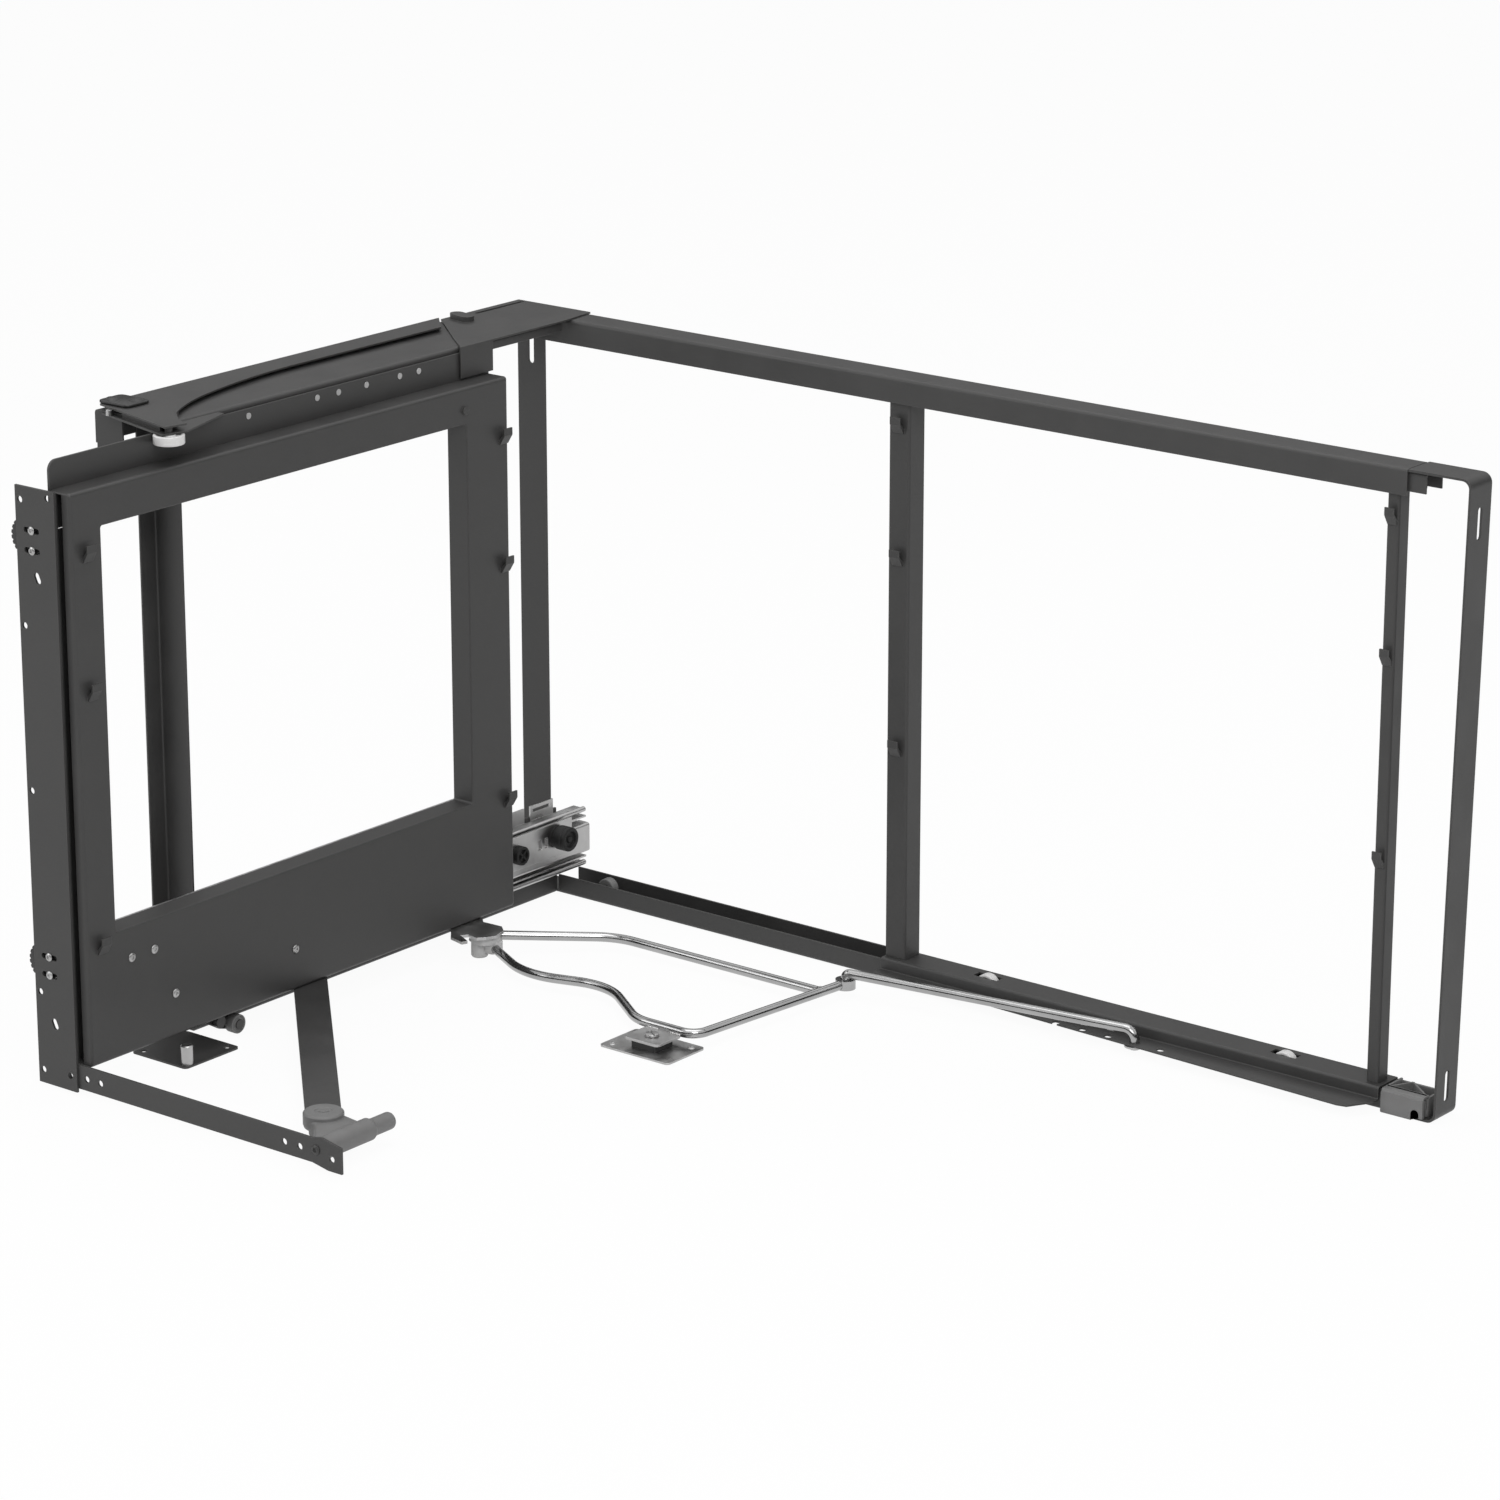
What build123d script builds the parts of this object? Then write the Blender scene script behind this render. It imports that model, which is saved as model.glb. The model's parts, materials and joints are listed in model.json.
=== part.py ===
from build123d import *
from math import atan2, degrees, hypot
import os

os.makedirs("parts", exist_ok=True)

# Corner cabinet pull-out. A fixed steel frame lines the back and the left wall of a corner
# carcass. A front frame that carries the door slides out along the left wall, and a bent
# rod lever on the floor swings with it and draws the rear frame across behind the opening.
# X runs to the right along the back wall, Y towards the back and Z up. The origin is the
# inner corner of the carcass: left wall X = 0, back wall Y = 0, floor Z = 0.

# Driving dimensions of the fixed frame
loop_width = 964.0          # left wall to the outside of the right end strip
loop_height = 515.0         # floor to the top of the fixed rails
side_depth = 507.0          # back wall to the front end of the side rail
strip_width = 30.0          # flat steel strip of the fixed frame
strip_gauge = 2.0
sheet = 1.5                 # gauge of the folded sheet pieces
bend = 1.5                  # inner radius of the folds
end_lean = 9.0              # how far the right end strip leans outwards at the top
wall_slot_width = 6.2
wall_slot_length = 26.0
left_slot_low = 36.0        # middle of the left strip's lower slot
left_slot_drop = 39.0       # its upper slot is this far below the top
right_slot_low = 27.5
right_slot_drop = 36.5
cover_lip = 9.0             # height of the side rail's folded edge
side_flange = 27.0          # height of the side rail's wall flange
rear_flange = 21.0          # height of the rear top rail's walls
top_rail_start = 32.0       # left end of the rear top rail
rail_end_inset = 56.0       # the rear top rail ends this far inside the loop
end_piece_reach = 15.0      # how far the rail end piece stands out of the rail
track_height = 17.0
track_start = 62.0          # left end of the bottom track's walls
end_foot = 28.0             # length of the right end strip's foot, up to the track
track_depth = 28.0
floor_rail_height = 78.0
floor_rail_front = 478.0
upright_front = 465.0
upright_back = 446.0
roll_gap = 0.3              # gap under a roller
slide_gap = 1.0             # gap between parts that slide past each other

# Driving dimensions of the sliding front frame
frame_face = 103.0          # X of the tray's outer face
tray_depth = 21.0
tray_front = 637.0          # distance of the tray's ends from the back wall
tray_back = 133.0
tray_low = 25.0
tray_drop = 27.0            # the tray's top is this far below the rails' top
window_front = 605.0
window_back = 185.0
window_low = 129.0
tray_top_beam = 31.0        # height of the tray's beam above the window
guide_plate_gap = 2.5       # the guide plate passes this far under the cover
plate_gauge = 2.0

# Driving dimensions of the telescopic runner
runner_back = 7.0
runner_length = 500.0
runner_low = 25.0
runner_height = 50.0
runner_depth = 20.0         # across all three members
runner_step = 6.0           # each inner member is this much lower at top and bottom
runner_flange = 13.0
runner_lip = 2.4            # radius of the outer member's rolled edges
ball_radius = 1.9
ball_pitch = 18.0
ball_count = 12
cage_back = 130.0

# Driving dimensions of the door fixing
door_face = 643.0           # distance of the door strip's face from the back wall
door_strip_left = 50.0
door_strip_right = 92.0
door_strip_low = 4.0
door_strip_rise = 1.0       # the strip's top stands this far above the tray
door_strip_gauge = 2.0
door_hole = 5.6             # diameter of the door screw holes
door_bar_left = 80.0
door_bar_right = 372.0
door_bar_low = 7.0
door_bar_high = 27.0
knob_radius = 16.0
knob_width = 8.0
knob_x = 57.0
knob_low = 104.0
knob_drop = 41.0            # the upper wheel is this far below the strip's top
brace_width = 28.0
brace_gauge = 3.0

# Driving dimensions of the rear frame
rear_frame_width = 482.0
stop_length = 29.0          # length of the end stop in the track
stop_gap = 7.0              # play between the end stop and the rear frame
rear_front = 26.0           # distance of the uprights' front faces from the back wall
left_upright_width = 21.0
left_upright_depth = 20.0
right_upright_width = 11.0
right_upright_depth = 14.0
carrier_drop = 20.0         # the top carrier is this far below the rails' top
carrier_gauge = 3.0
channel_top = 19.5
channel_fold = 30.0         # distance of the moving channel's front wall from the back wall
flange_top = 9.5
wheel_radius = 10.0
wheel_width = 8.0
wheel_insets = (98.0, 93.0)     # from the rear frame's left and right edge
top_roller_radius = 12.5
top_roller_height = 12.0
top_roller_insets = (14.0, 15.0)

# Driving dimensions of the lever and its link
rod = 4.0                   # radius of the chrome rods
pivot = (373.0, -276.0)     # lever pivot on the floor plate
eye = (420.0, -82.0)        # eye at the lever's right end
link_hole_inset = 266.0     # link hole, from the rear frame's left edge
link_hole_depth = 45.0
lever_corner = 401.0        # main rod's corner beside the pivot
lever_bends = ((198.0, -231.0), (272.0, -208.0), (340.0, -256.0))
brace_bend = (198.0, -111.0)
hub_place = (126.0, -198.0)
hub_radius = 13.0
lever_height = 11.0
link_height = 20.0

# Places worked out from the driving dimensions
rail_top = loop_height
rail_under = loop_height - sheet
left_slot_heights = (left_slot_low, loop_height - left_slot_drop)
right_slot_heights = (right_slot_low, loop_height - right_slot_drop)
top_rail_end = loop_width - rail_end_inset
track_end = loop_width - end_foot
tray_high = loop_height - tray_drop
window_high = tray_high - tray_top_beam
guide_plate_top = rail_under - guide_plate_gap
door_strip_high = tray_high + door_strip_rise
knob_heights = (knob_low, door_strip_high - knob_drop)
rear_right = track_end - stop_length - stop_gap
rear_left = rear_right - rear_frame_width
wheel_x = (rear_left + wheel_insets[0], rear_right - wheel_insets[1])
top_roller_x = (rear_left + top_roller_insets[0], rear_right - top_roller_insets[1])
link_hole = (rear_left + link_hole_inset, -link_hole_depth)
carrier_low = loop_height - carrier_drop
tray_inner = frame_face - tray_depth
guide_plate_back = tray_inner - plate_gauge
runner_web = guide_plate_back - runner_depth
cover_edge = guide_plate_back - slide_gap
runner_mid = runner_low + runner_height / 2
door_back = door_face - door_strip_gauge
bar_back = door_back - door_strip_gauge
lever_top = lever_height + rod
rail_mid_y = -strip_width / 2

low = (Align.MIN, Align.MIN, Align.MIN)
standing = (Align.CENTER, Align.CENTER, Align.MIN)


def block(x, depth, z, mode=Mode.ADD):
    """A block from its spans: along X, in depth from the back wall, and in height."""
    with Locations((x[0], -depth[1], z[0])):
        Box(x[1] - x[0], depth[1] - depth[0], z[1] - z[0], align=low, mode=mode)


def rod_along(start, direction, radius, length, mode=Mode.ADD):
    """A round bar or hole that starts at a point and runs in one direction."""
    with Locations(Plane(origin=start, z_dir=direction)):
        Cylinder(radius, length, align=standing, mode=mode)


def folded(plane, points, gauge, length, radius=bend):
    """A sheet folded along the middle line of its section, and run out from the plane."""
    with BuildSketch(plane) as section:
        with BuildLine():
            line = FilletPolyline(*points, radius=radius + gauge / 2)
        trace(line, line_width=gauge)
    extrude(section.sketch, amount=length)


def wire(points, radii, radius=rod):
    """A round wire along straight runs joined by arcs."""
    with BuildLine() as run:
        FilletPolyline(*points, radius=radii)
    with BuildSketch(Plane(origin=run.line @ 0, z_dir=run.line % 0)) as section:
        Circle(radius)
    sweep(section.sketch, path=run.line)


def finish(piece, name):
    piece.part.label = name
    export_step(piece.part, f"parts/{name}.step")


def floor_plate(centre, size, first_hole, second_hole):
    """A plate on the floor with two screw holes at opposite corners."""
    with BuildSketch() as outline:
        with Locations(centre):
            RectangleRounded(size[0], size[1], 4)
            with Locations(first_hole, second_hole):
                Circle(floor_screw, mode=Mode.SUBTRACT)
    extrude(outline.sketch, amount=sheet)


# Side top rail: a cover sheet with a wall flange, a folded edge and a small front plate
arm_start = 450.0           # the lower arm plate begins this far from the back wall
with BuildPart() as side_top_rail:
    half = sheet / 2
    folded(
        Plane.XZ.offset(strip_width),
        [
            (half, rail_top - side_flange), (half, rail_top - half),
            (cover_edge - half, rail_top - half), (cover_edge - half, rail_top - cover_lip),
        ],
        sheet,
        side_depth - strip_width,
    )
    block(
        (cover_edge - 2 * sheet, cover_edge), (arm_start - slide_gap, side_depth),
        (rail_top - cover_lip, rail_under), Mode.SUBTRACT,
    )
    block((sheet, strip_width), (side_depth - sheet, side_depth), (rail_top - side_flange - 4, rail_under))
    cover_notch = 6.0
    block(
        (top_rail_start - slide_gap, cover_edge + 1), (strip_width - 1, strip_width + cover_notch),
        (rail_top - cover_lip, rail_top + 1), Mode.SUBTRACT,
    )
finish(side_top_rail, "side_top_rail")

# Side front upright: an angle that stands on the floor rail
foot_gauge = strip_gauge
with BuildPart() as side_front_upright:
    half = sheet / 2
    folded(
        Plane.XY.offset(foot_gauge),
        [
            (sheet + half, -upright_front),
            (sheet + half, -upright_back - half),
            (sheet + strip_width, -upright_back - half),
        ],
        sheet,
        rail_top - bend - sheet - foot_gauge,
    )
finish(side_front_upright, "side_front_upright")

# Side floor rail: an angle on the floor that carries the runner
runner_screw_depths = (90.0, 260.0, 430.0)
runner_screw = 2.1
floor_screw = 2.6           # radius of the holes for the floor screws
with BuildPart() as side_floor_rail:
    half = foot_gauge / 2
    folded(
        Plane.XZ.offset(track_depth),
        [(0, half), (runner_web - half, half), (runner_web - half, floor_rail_height)],
        foot_gauge,
        floor_rail_front - track_depth,
    )
    for depth in runner_screw_depths:
        rod_along((runner_web - 5, -depth, runner_mid), (1, 0, 0), runner_screw, 8, Mode.SUBTRACT)
finish(side_floor_rail, "side_floor_rail")

# Rear left strip: flat steel with a bent foot and two slots for the wall screws
with BuildPart() as rear_left_strip:
    half = strip_gauge / 2
    folded(
        Plane.YZ,
        [(-half, rail_top), (-half, half), (-track_depth, half)],
        strip_gauge,
        strip_width,
    )
    with BuildSketch(Plane.XZ):
        for height in left_slot_heights:
            with Locations((strip_width / 2, height)):
                SlotOverall(wall_slot_length, wall_slot_width, rotation=90)
    extrude(amount=strip_gauge, mode=Mode.SUBTRACT)
finish(rear_left_strip, "rear_left_strip")

# Rear top rail: a channel that opens downwards and guides the rear frame
with BuildPart() as rear_top_rail:
    half = sheet / 2
    folded(
        Plane.YZ.offset(top_rail_start),
        [
            (-strip_width + half, rail_top - rear_flange),
            (-strip_width + half, rail_top - half),
            (-half, rail_top - half),
            (-half, rail_top - rear_flange),
        ],
        sheet,
        top_rail_end - top_rail_start,
    )
finish(rear_top_rail, "rear_top_rail")

# Rail end piece: a smaller channel that continues the rear top rail
nest = 3.0                  # the end piece is narrower than the rail by this on each side
nest_top = loop_height - strip_gauge
nest_height = 16.0
with BuildPart() as rail_end_piece:
    half = sheet / 2
    folded(
        Plane.YZ.offset(top_rail_end - 8),
        [
            (-strip_width + nest + half, nest_top - nest_height),
            (-strip_width + nest + half, nest_top - half),
            (-nest - half, nest_top - half),
            (-nest - half, nest_top - nest_height),
        ],
        sheet,
        end_piece_reach + 8,
    )
finish(rail_end_piece, "rail_end_piece")

# Right end strip: one flat strip bent round the right end, from the top rail to the track
with BuildPart() as right_end_strip:
    half = strip_gauge / 2
    folded(
        Plane.XZ,
        [
            (top_rail_end + slide_gap, loop_height - half),
            (loop_width - half, loop_height - half),
            (loop_width - half - end_lean, half),
            (track_end, half),
        ],
        strip_gauge,
        strip_width,
        radius=6.0,
    )
    for height in right_slot_heights:
        with BuildSketch(Plane.YZ.offset(loop_width - end_lean - 10)):
            with Locations((rail_mid_y, height)):
                SlotOverall(wall_slot_length, wall_slot_width, rotation=90)
        extrude(amount=end_lean + 10, mode=Mode.SUBTRACT)
finish(right_end_strip, "right_end_strip")

# Rear bottom track: an upward channel on the floor in which the rear frame's wheels run
with BuildPart() as rear_bottom_track:
    half = sheet / 2
    folded(
        Plane.YZ.offset(strip_width),
        [
            (-track_depth + half, track_height),
            (-track_depth + half, half),
            (-half, half),
            (-half, track_height),
        ],
        sheet,
        track_end - strip_width,
    )
    block((strip_width, track_start), (0, track_depth), (2 * sheet, track_height), Mode.SUBTRACT)
finish(rear_bottom_track, "rear_bottom_track")

# Corner bracket: joins the two rails, and its lip guides the front frame's top when it is shut
lip_inner = tray_inner + slide_gap
lip_outer = lip_inner + sheet
lip_front = 170.0
lip_back = 130.0
with BuildPart() as corner_bracket:
    with BuildSketch(Plane.XY.offset(rail_top)):
        with BuildLine():
            Polyline(
                (0, 0), (lip_outer - 4, 0), (lip_outer, -36), (lip_outer, -lip_front),
                (lip_outer - 25, 20 - lip_front), (0, 70 - lip_front), close=True,
            )
        make_face()
        with Locations((8, -34)):
            SlotOverall(62, 4, rotation=90, mode=Mode.SUBTRACT)
    extrude(amount=sheet)
    block(
        (lip_inner, lip_outer), (lip_back, lip_front),
        (tray_high + 2, rail_top + sheet),
    )
    with BuildSketch(Plane.XY.offset(rail_top + sheet)):
        with Locations((15, -90)):
            SlotOverall(26, 12, rotation=-12)
    extrude(amount=4.5)
finish(corner_bracket, "corner_bracket")

# Top arm: a curved plate above the side rail and a shorter one below it hold the guide roller
arm_lift = 3.0              # the upper plate stands this far above the rail
arm_low = rail_top + arm_lift
arm_top = arm_low + sheet
lower_arm = guide_plate_top + slide_gap
roller_radius = 12.5
roller_height = 7.5
rivet_lift = 0.25
arm_wall = 4.0              # the upper plate's edge beside the wall
arm_strip = 29.0            # right edge of the narrow strip behind its curve
arm_back = 132.0            # the strip ends this far from the back wall
arm_curve = ((arm_strip, -300.0), (46.0, 76 - side_depth), (72.0, 18 - side_depth))
roller_x = tray_inner + rivet_lift + 0.25 + roller_radius
roller_y = -side_depth - 14
axle = 3.0                  # radius of the small axles
axle_fit = 0.06
with BuildPart() as top_arm_upper:
    with BuildSketch(Plane.XY.offset(arm_low)):
        with BuildLine():
            back = TangentArc(arm_curve[0], arm_curve[1], tangent=(0, -1))
            front = TangentArc(back @ 1, arm_curve[2], tangent=back % 1)
            Polyline(
                front @ 1, (90, -side_depth + 2), (roller_x + 8, roller_y + 12),
                (roller_x + 4, roller_y - 8), (arm_wall, -side_depth + 2),
                (arm_wall, arm_strip - arm_wall - arm_back), (arm_strip, -arm_back), arm_curve[0],
            )
        make_face()
    extrude(amount=sheet)
    rod_along((roller_x, roller_y, arm_low), (0, 0, 1), axle + axle_fit, sheet, Mode.SUBTRACT)
finish(top_arm_upper, "top_arm_upper")

with BuildPart() as top_arm_lower:
    with BuildSketch(Plane.XY.offset(lower_arm)):
        with BuildLine():
            Polyline(
                (8, -side_depth - 0.5), (roller_x + 2, roller_y - 10), (roller_x + 8, roller_y + 12),
                (roller_x - 10, -arm_start), (strip_width + sheet, -arm_start),
                (strip_width + sheet, -side_depth - 0.5), close=True,
            )
        make_face()
    extrude(amount=rail_under - lower_arm)
    with BuildSketch(Plane.XY.offset(rail_under)):
        with BuildLine():
            wall_line = Line((34, -side_depth - 2.5), (roller_x - 7, roller_y - 1.8))
        trace(wall_line, line_width=sheet)
    extrude(amount=arm_low - rail_under)
    rod_along((roller_x, roller_y, lower_arm), (0, 0, 1), axle + axle_fit, sheet, Mode.SUBTRACT)
finish(top_arm_lower, "top_arm_lower")

# Arm pins: the rivets that hold the two arm plates to each other and to the rail
with BuildPart() as arm_pins:
    rod_along((20, -side_depth - 3.5, rail_under), (0, 0, 1), 2.9, arm_low - rail_under)
    for x, y in ((16, -180), (16, -300), (24, 107 - side_depth), (60, 27 - side_depth)):
        rod_along((x, y, rail_top), (0, 0, 1), 4.0, arm_lift)
finish(arm_pins, "arm_pins")

# Guide roller and its axle: the roller runs on the outer face of the front frame's top plate
roller_top = lower_arm - roll_gap
roller_low = roller_top - roller_height
with BuildPart() as guide_roller_axle:
    rod_along((roller_x, roller_y, roller_low - roll_gap), (0, 0, 1), axle, arm_top + roll_gap - roller_low)
    rod_along((roller_x, roller_y, roller_low - roll_gap - 1.5), (0, 0, 1), axle + 2, 1.5)
finish(guide_roller_axle, "guide_roller_axle")

with BuildPart() as guide_roller:
    with Locations((roller_x, roller_y, roller_low)):
        Cylinder(roller_radius, roller_height, align=standing)
    chamfer(guide_roller.edges(), 1.0)
    rod_along((roller_x, roller_y, roller_low), (0, 0, 1), axle + axle_fit, roller_height, Mode.SUBTRACT)
finish(guide_roller, "guide_roller")

# Rail front cap: black plastic over the front end of the upper arm plate
cap_depth = 27.0
with BuildPart() as rail_front_cap:
    with BuildSketch(Plane.XY.offset(arm_top)):
        with Locations((17, -side_depth + 2 + cap_depth / 2)):
            RectangleRounded(34, cap_depth, 5)
    extrude(amount=2.5)
    for x, y in ((9, -side_depth + 10), (27, -side_depth + 20)):
        rod_along((x, y, arm_top + 2.5), (0, 0, 1), 5.0, 2.0)
finish(rail_front_cap, "rail_front_cap")

# Left floor plate and its guide pin
left_plate = (84.5, -515.0)
with BuildPart() as left_floor_plate:
    floor_plate(left_plate, (61.0, 62.0), (-23, -24), (23, 24))
finish(left_floor_plate, "left_floor_plate")

guide_pin = 5.0
with BuildPart() as left_guide_pin:
    with Locations((left_plate[0] + 24.5, left_plate[1] - 23, sheet)):
        Cylinder(guide_pin, 16.0, align=standing)
    chamfer(left_guide_pin.edges().group_by(Axis.Z)[-1], 0.8)
finish(left_guide_pin, "left_guide_pin")

# Right floor plate with the lever's pivot block and pivot pin
with BuildPart() as pivot_floor_plate:
    floor_plate(pivot, (72.0, 48.0), (-28, -16), (28, 16))
finish(pivot_floor_plate, "pivot_floor_plate")

lever_plate_low = lever_height - rod + 1.3
lever_plate_gauge = 2.0
lever_plate_top = lever_plate_low + lever_plate_gauge
block_top = lever_plate_low - roll_gap
with BuildPart() as pivot_block:
    with BuildSketch(Plane.XY.offset(sheet)):
        with Locations(pivot):
            RectangleRounded(26, 24, 3)
    extrude(amount=block_top - sheet)
finish(pivot_block, "pivot_block")

with BuildPart() as lever_pivot_pin:
    rod_along((*pivot, block_top), (0, 0, 1), axle, lever_plate_top + roll_gap - block_top)
    rod_along((*pivot, lever_plate_top + roll_gap), (0, 0, 1), 2 * axle, 2.0)
    with BuildSketch(Plane.XY.offset(lever_plate_top + roll_gap + 1.0)):
        with Locations(pivot):
            Rectangle(1.2, 9)
    extrude(amount=1.0, mode=Mode.SUBTRACT)
finish(lever_pivot_pin, "lever_pivot_pin")

# End stop: moulded plastic at the right end of the track
stop_left = track_end - stop_length
stop_right = track_end + 9
stop_top = track_height + 3
arch_left = track_end - 1   # the front wall is open below from here to the stop's last leg
front_wall = (track_depth + slide_gap, track_depth + 5)
with BuildPart() as track_end_stop:
    block((stop_left, arch_left), (2, track_depth - 2), (sheet, stop_top))
    block((arch_left, stop_right), (2, track_depth - 2), (strip_gauge, stop_top))
    block((stop_left, stop_right), (track_depth - 6, track_depth + 5), (track_height + 1, stop_top))
    block((stop_left, arch_left), front_wall, (0, stop_top))
    block((arch_left, stop_right), front_wall, (7, stop_top))
    block((stop_right - 3.5, stop_right), front_wall, (strip_gauge + 0.5, stop_top))
    block((stop_left + 3, stop_right - 3), (5, track_depth - 5), (8, stop_top), Mode.SUBTRACT)
finish(track_end_stop, "track_end_stop")

# Track buffer: round plastic stop at the left end of the rear frame's travel
buffer_radius = 8.8
buffer_x = 107.0
with BuildPart() as track_buffer:
    rod_along((buffer_x, -18, sheet + buffer_radius), (0, 1, 0), buffer_radius, 8.0)
    block((buffer_x - 5, buffer_x + 5), (10, 18), (sheet, sheet + 4))
finish(track_buffer, "track_buffer")

# Telescopic runner: three folded members that nest, and two ball cages
cage_width = 4.4


def runner_member(web_x, step, reach, gauge):
    """A C section of the runner with its web at web_x and its flanges to one side."""
    half = gauge / 2
    web = web_x + half if reach > 0 else web_x - half
    bottom = runner_low + step
    top = runner_low + runner_height - step
    folded(
        Plane.XZ.offset(runner_back),
        [
            (web_x + reach, bottom + half), (web, bottom + half),
            (web, top - half), (web_x + reach, top - half),
        ],
        gauge,
        runner_length,
        radius=0.8,
    )


def ball_cage(x, step):
    """Two rows of balls, each held in a thin strip between two flanges."""
    offset = step + (runner_step + sheet) / 2
    for height in (runner_low + offset, runner_low + runner_height - offset):
        with Locations((x, -(cage_back + ball_pitch * ball_count / 2), height)):
            Box(cage_width, ball_pitch * ball_count, 0.8)
        for index in range(ball_count):
            with Locations((x, -(cage_back + ball_pitch * (index + 0.5)), height)):
                Sphere(ball_radius)


tab_rise = 13.0             # the mounting tabs stand this far above the runner
with BuildPart() as runner_outer:
    runner_member(runner_web, 0.0, runner_flange, sheet)
    for height in (runner_low + sheet / 2, runner_low + runner_height - sheet / 2):
        lip_centre = (runner_web + runner_flange + 0.5, -runner_back, height)
        rod_along(lip_centre, (0, -1, 0), runner_lip, runner_length)
    tab_low = runner_low + runner_height - 3
    for depths in ((34, 64), (72, 110)):
        block((runner_web, runner_web + sheet), depths, (tab_low, tab_low + 3 + tab_rise))
    block((runner_web, runner_web + sheet), (38, 61), (tab_low + 10, tab_low + 13), Mode.SUBTRACT)
    for depth in runner_screw_depths:
        rod_along((runner_web, -depth, runner_mid), (1, 0, 0), runner_screw, sheet, Mode.SUBTRACT)
finish(runner_outer, "runner_outer")

with BuildPart() as runner_middle:
    runner_member(runner_web + 4, runner_step, runner_flange - 1, sheet)
finish(runner_middle, "runner_middle")

with BuildPart() as runner_inner:
    runner_member(guide_plate_back, 2 * runner_step, 1 - runner_flange, sheet)
finish(runner_inner, "runner_inner")

with BuildPart() as runner_screws:
    for depth in runner_screw_depths:
        rod_along((runner_web - 5, -depth, runner_mid), (1, 0, 0), runner_screw, 5 + sheet)
        rod_along((runner_web + sheet, -depth, runner_mid), (1, 0, 0), 2 * runner_screw, 1.5)
finish(runner_screws, "runner_screws")

with BuildPart() as outer_ball_cage:
    ball_cage(runner_web + runner_flange - 3.5, 0.0)
finish(outer_ball_cage, "outer_ball_cage")

with BuildPart() as inner_ball_cage:
    ball_cage(runner_web + runner_flange - 0.5, runner_step)
finish(inner_ball_cage, "inner_ball_cage")

# Basket hooks are tongues lanced out of the steel: they lean away from the face they stand on
hook_width = 10.0
hook_reach = 7.0
hook_height = 14.0


def hook_profile(base, out, height):
    """The side view of one hook, from its foot on the face to its free tip."""
    tip = base + out * hook_reach
    inside = base + out * (hook_reach - sheet)
    with BuildLine() as outline:
        Polyline(
            (base, height), (base + out * 2, height), (tip, height + 8), (tip, height + hook_height),
            (inside, height + hook_height), (inside, height + 9), (base, height + 3), close=True,
        )
    make_face(outline.line)


# Front frame tray: a pressed frame with a window, open at the back
with BuildPart() as front_frame_tray:
    mid_y = -(tray_front + tray_back) / 2
    mid_z = (tray_low + tray_high) / 2
    window_y = -(window_front + window_back) / 2
    window_z = (window_low + window_high) / 2
    window = (window_front - window_back, window_high - window_low)
    with BuildSketch(Plane.YZ.offset(tray_inner)):
        with Locations((mid_y, mid_z)):
            RectangleRounded(tray_front - tray_back, tray_high - tray_low, 2)
        with Locations((window_y, window_z)):
            RectangleRounded(*window, 2, mode=Mode.SUBTRACT)
    extrude(amount=tray_depth)
    front_edge = front_frame_tray.faces().sort_by(Axis.X)[-1].edges().filter_by(Axis.Z).sort_by(Axis.Y)[0]
    fillet(front_edge, 3.0)
    fillet(front_frame_tray.faces().sort_by(Axis.X)[-1].edges().sort_by(Axis.Y)[1:], 1.2)
    with BuildSketch(Plane.YZ.offset(tray_inner)):
        with Locations((mid_y, mid_z)):
            Rectangle(tray_front - tray_back - 2 * sheet, tray_high - tray_low - 2 * sheet)
        with Locations((window_y, window_z)):
            RectangleRounded(window[0] + 2 * sheet, window[1] + 2 * sheet, 3, mode=Mode.SUBTRACT)
    extrude(amount=tray_depth - sheet, mode=Mode.SUBTRACT)
    block(
        (door_strip_right - 4, door_strip_right + 2.5), (tray_front - 2 * sheet, tray_front),
        (tray_low + sheet, tray_high - sheet), Mode.SUBTRACT,
    )
    for depth in (tray_front - 16, tray_back + 7):
        for height in (tray_high - 56, tray_high - 166, tray_low + 91):
            with BuildSketch(Plane.XZ.offset(depth - hook_width / 2)):
                hook_profile(frame_face - sheet / 2, 1, height)
            extrude(amount=hook_width)
    rod_along((frame_face, -window_back - 2, tray_high - 19), (1, 0, 0), 3.5, 1.8)
finish(front_frame_tray, "front_frame_tray")

# Top guide plate: riveted behind the tray's top rail, it runs under the side rail's cover
with BuildPart() as top_guide_plate:
    with BuildSketch(Plane.YZ.offset(guide_plate_back)):
        with Locations((mid_y, (window_high + guide_plate_top) / 2)):
            Rectangle(tray_front - tray_back, guide_plate_top - window_high)
    extrude(amount=plate_gauge)
    fillet(top_guide_plate.edges().filter_by(Axis.X).group_by(Axis.Z)[-1], 8.0)
finish(top_guide_plate, "top_guide_plate")

# Carrier plate: zinc plate that joins the tray to the runner's inner member
carrier_back = 33.0
carrier_front = tray_front - 37
carrier_low_edge = 45.0
carrier_high_edge = 75.0
with BuildPart() as runner_carrier_plate:
    block((guide_plate_back, tray_inner), (tray_back, carrier_front), (tray_low, window_low))
    block((guide_plate_back, tray_inner), (carrier_back, tray_back), (carrier_low_edge, carrier_high_edge))
    with BuildSketch(Plane.YZ.offset(guide_plate_back)):
        with Locations((-67.4, 60), (-75.4, 60)):
            RectangleRounded(4.6, 9, 1)
    extrude(amount=plate_gauge, mode=Mode.SUBTRACT)
    rod_along((tray_inner, -(carrier_back + 7), carrier_low_edge + 5), (1, 0, 0), 2.6, 0.8)
finish(runner_carrier_plate, "runner_carrier_plate")

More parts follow.
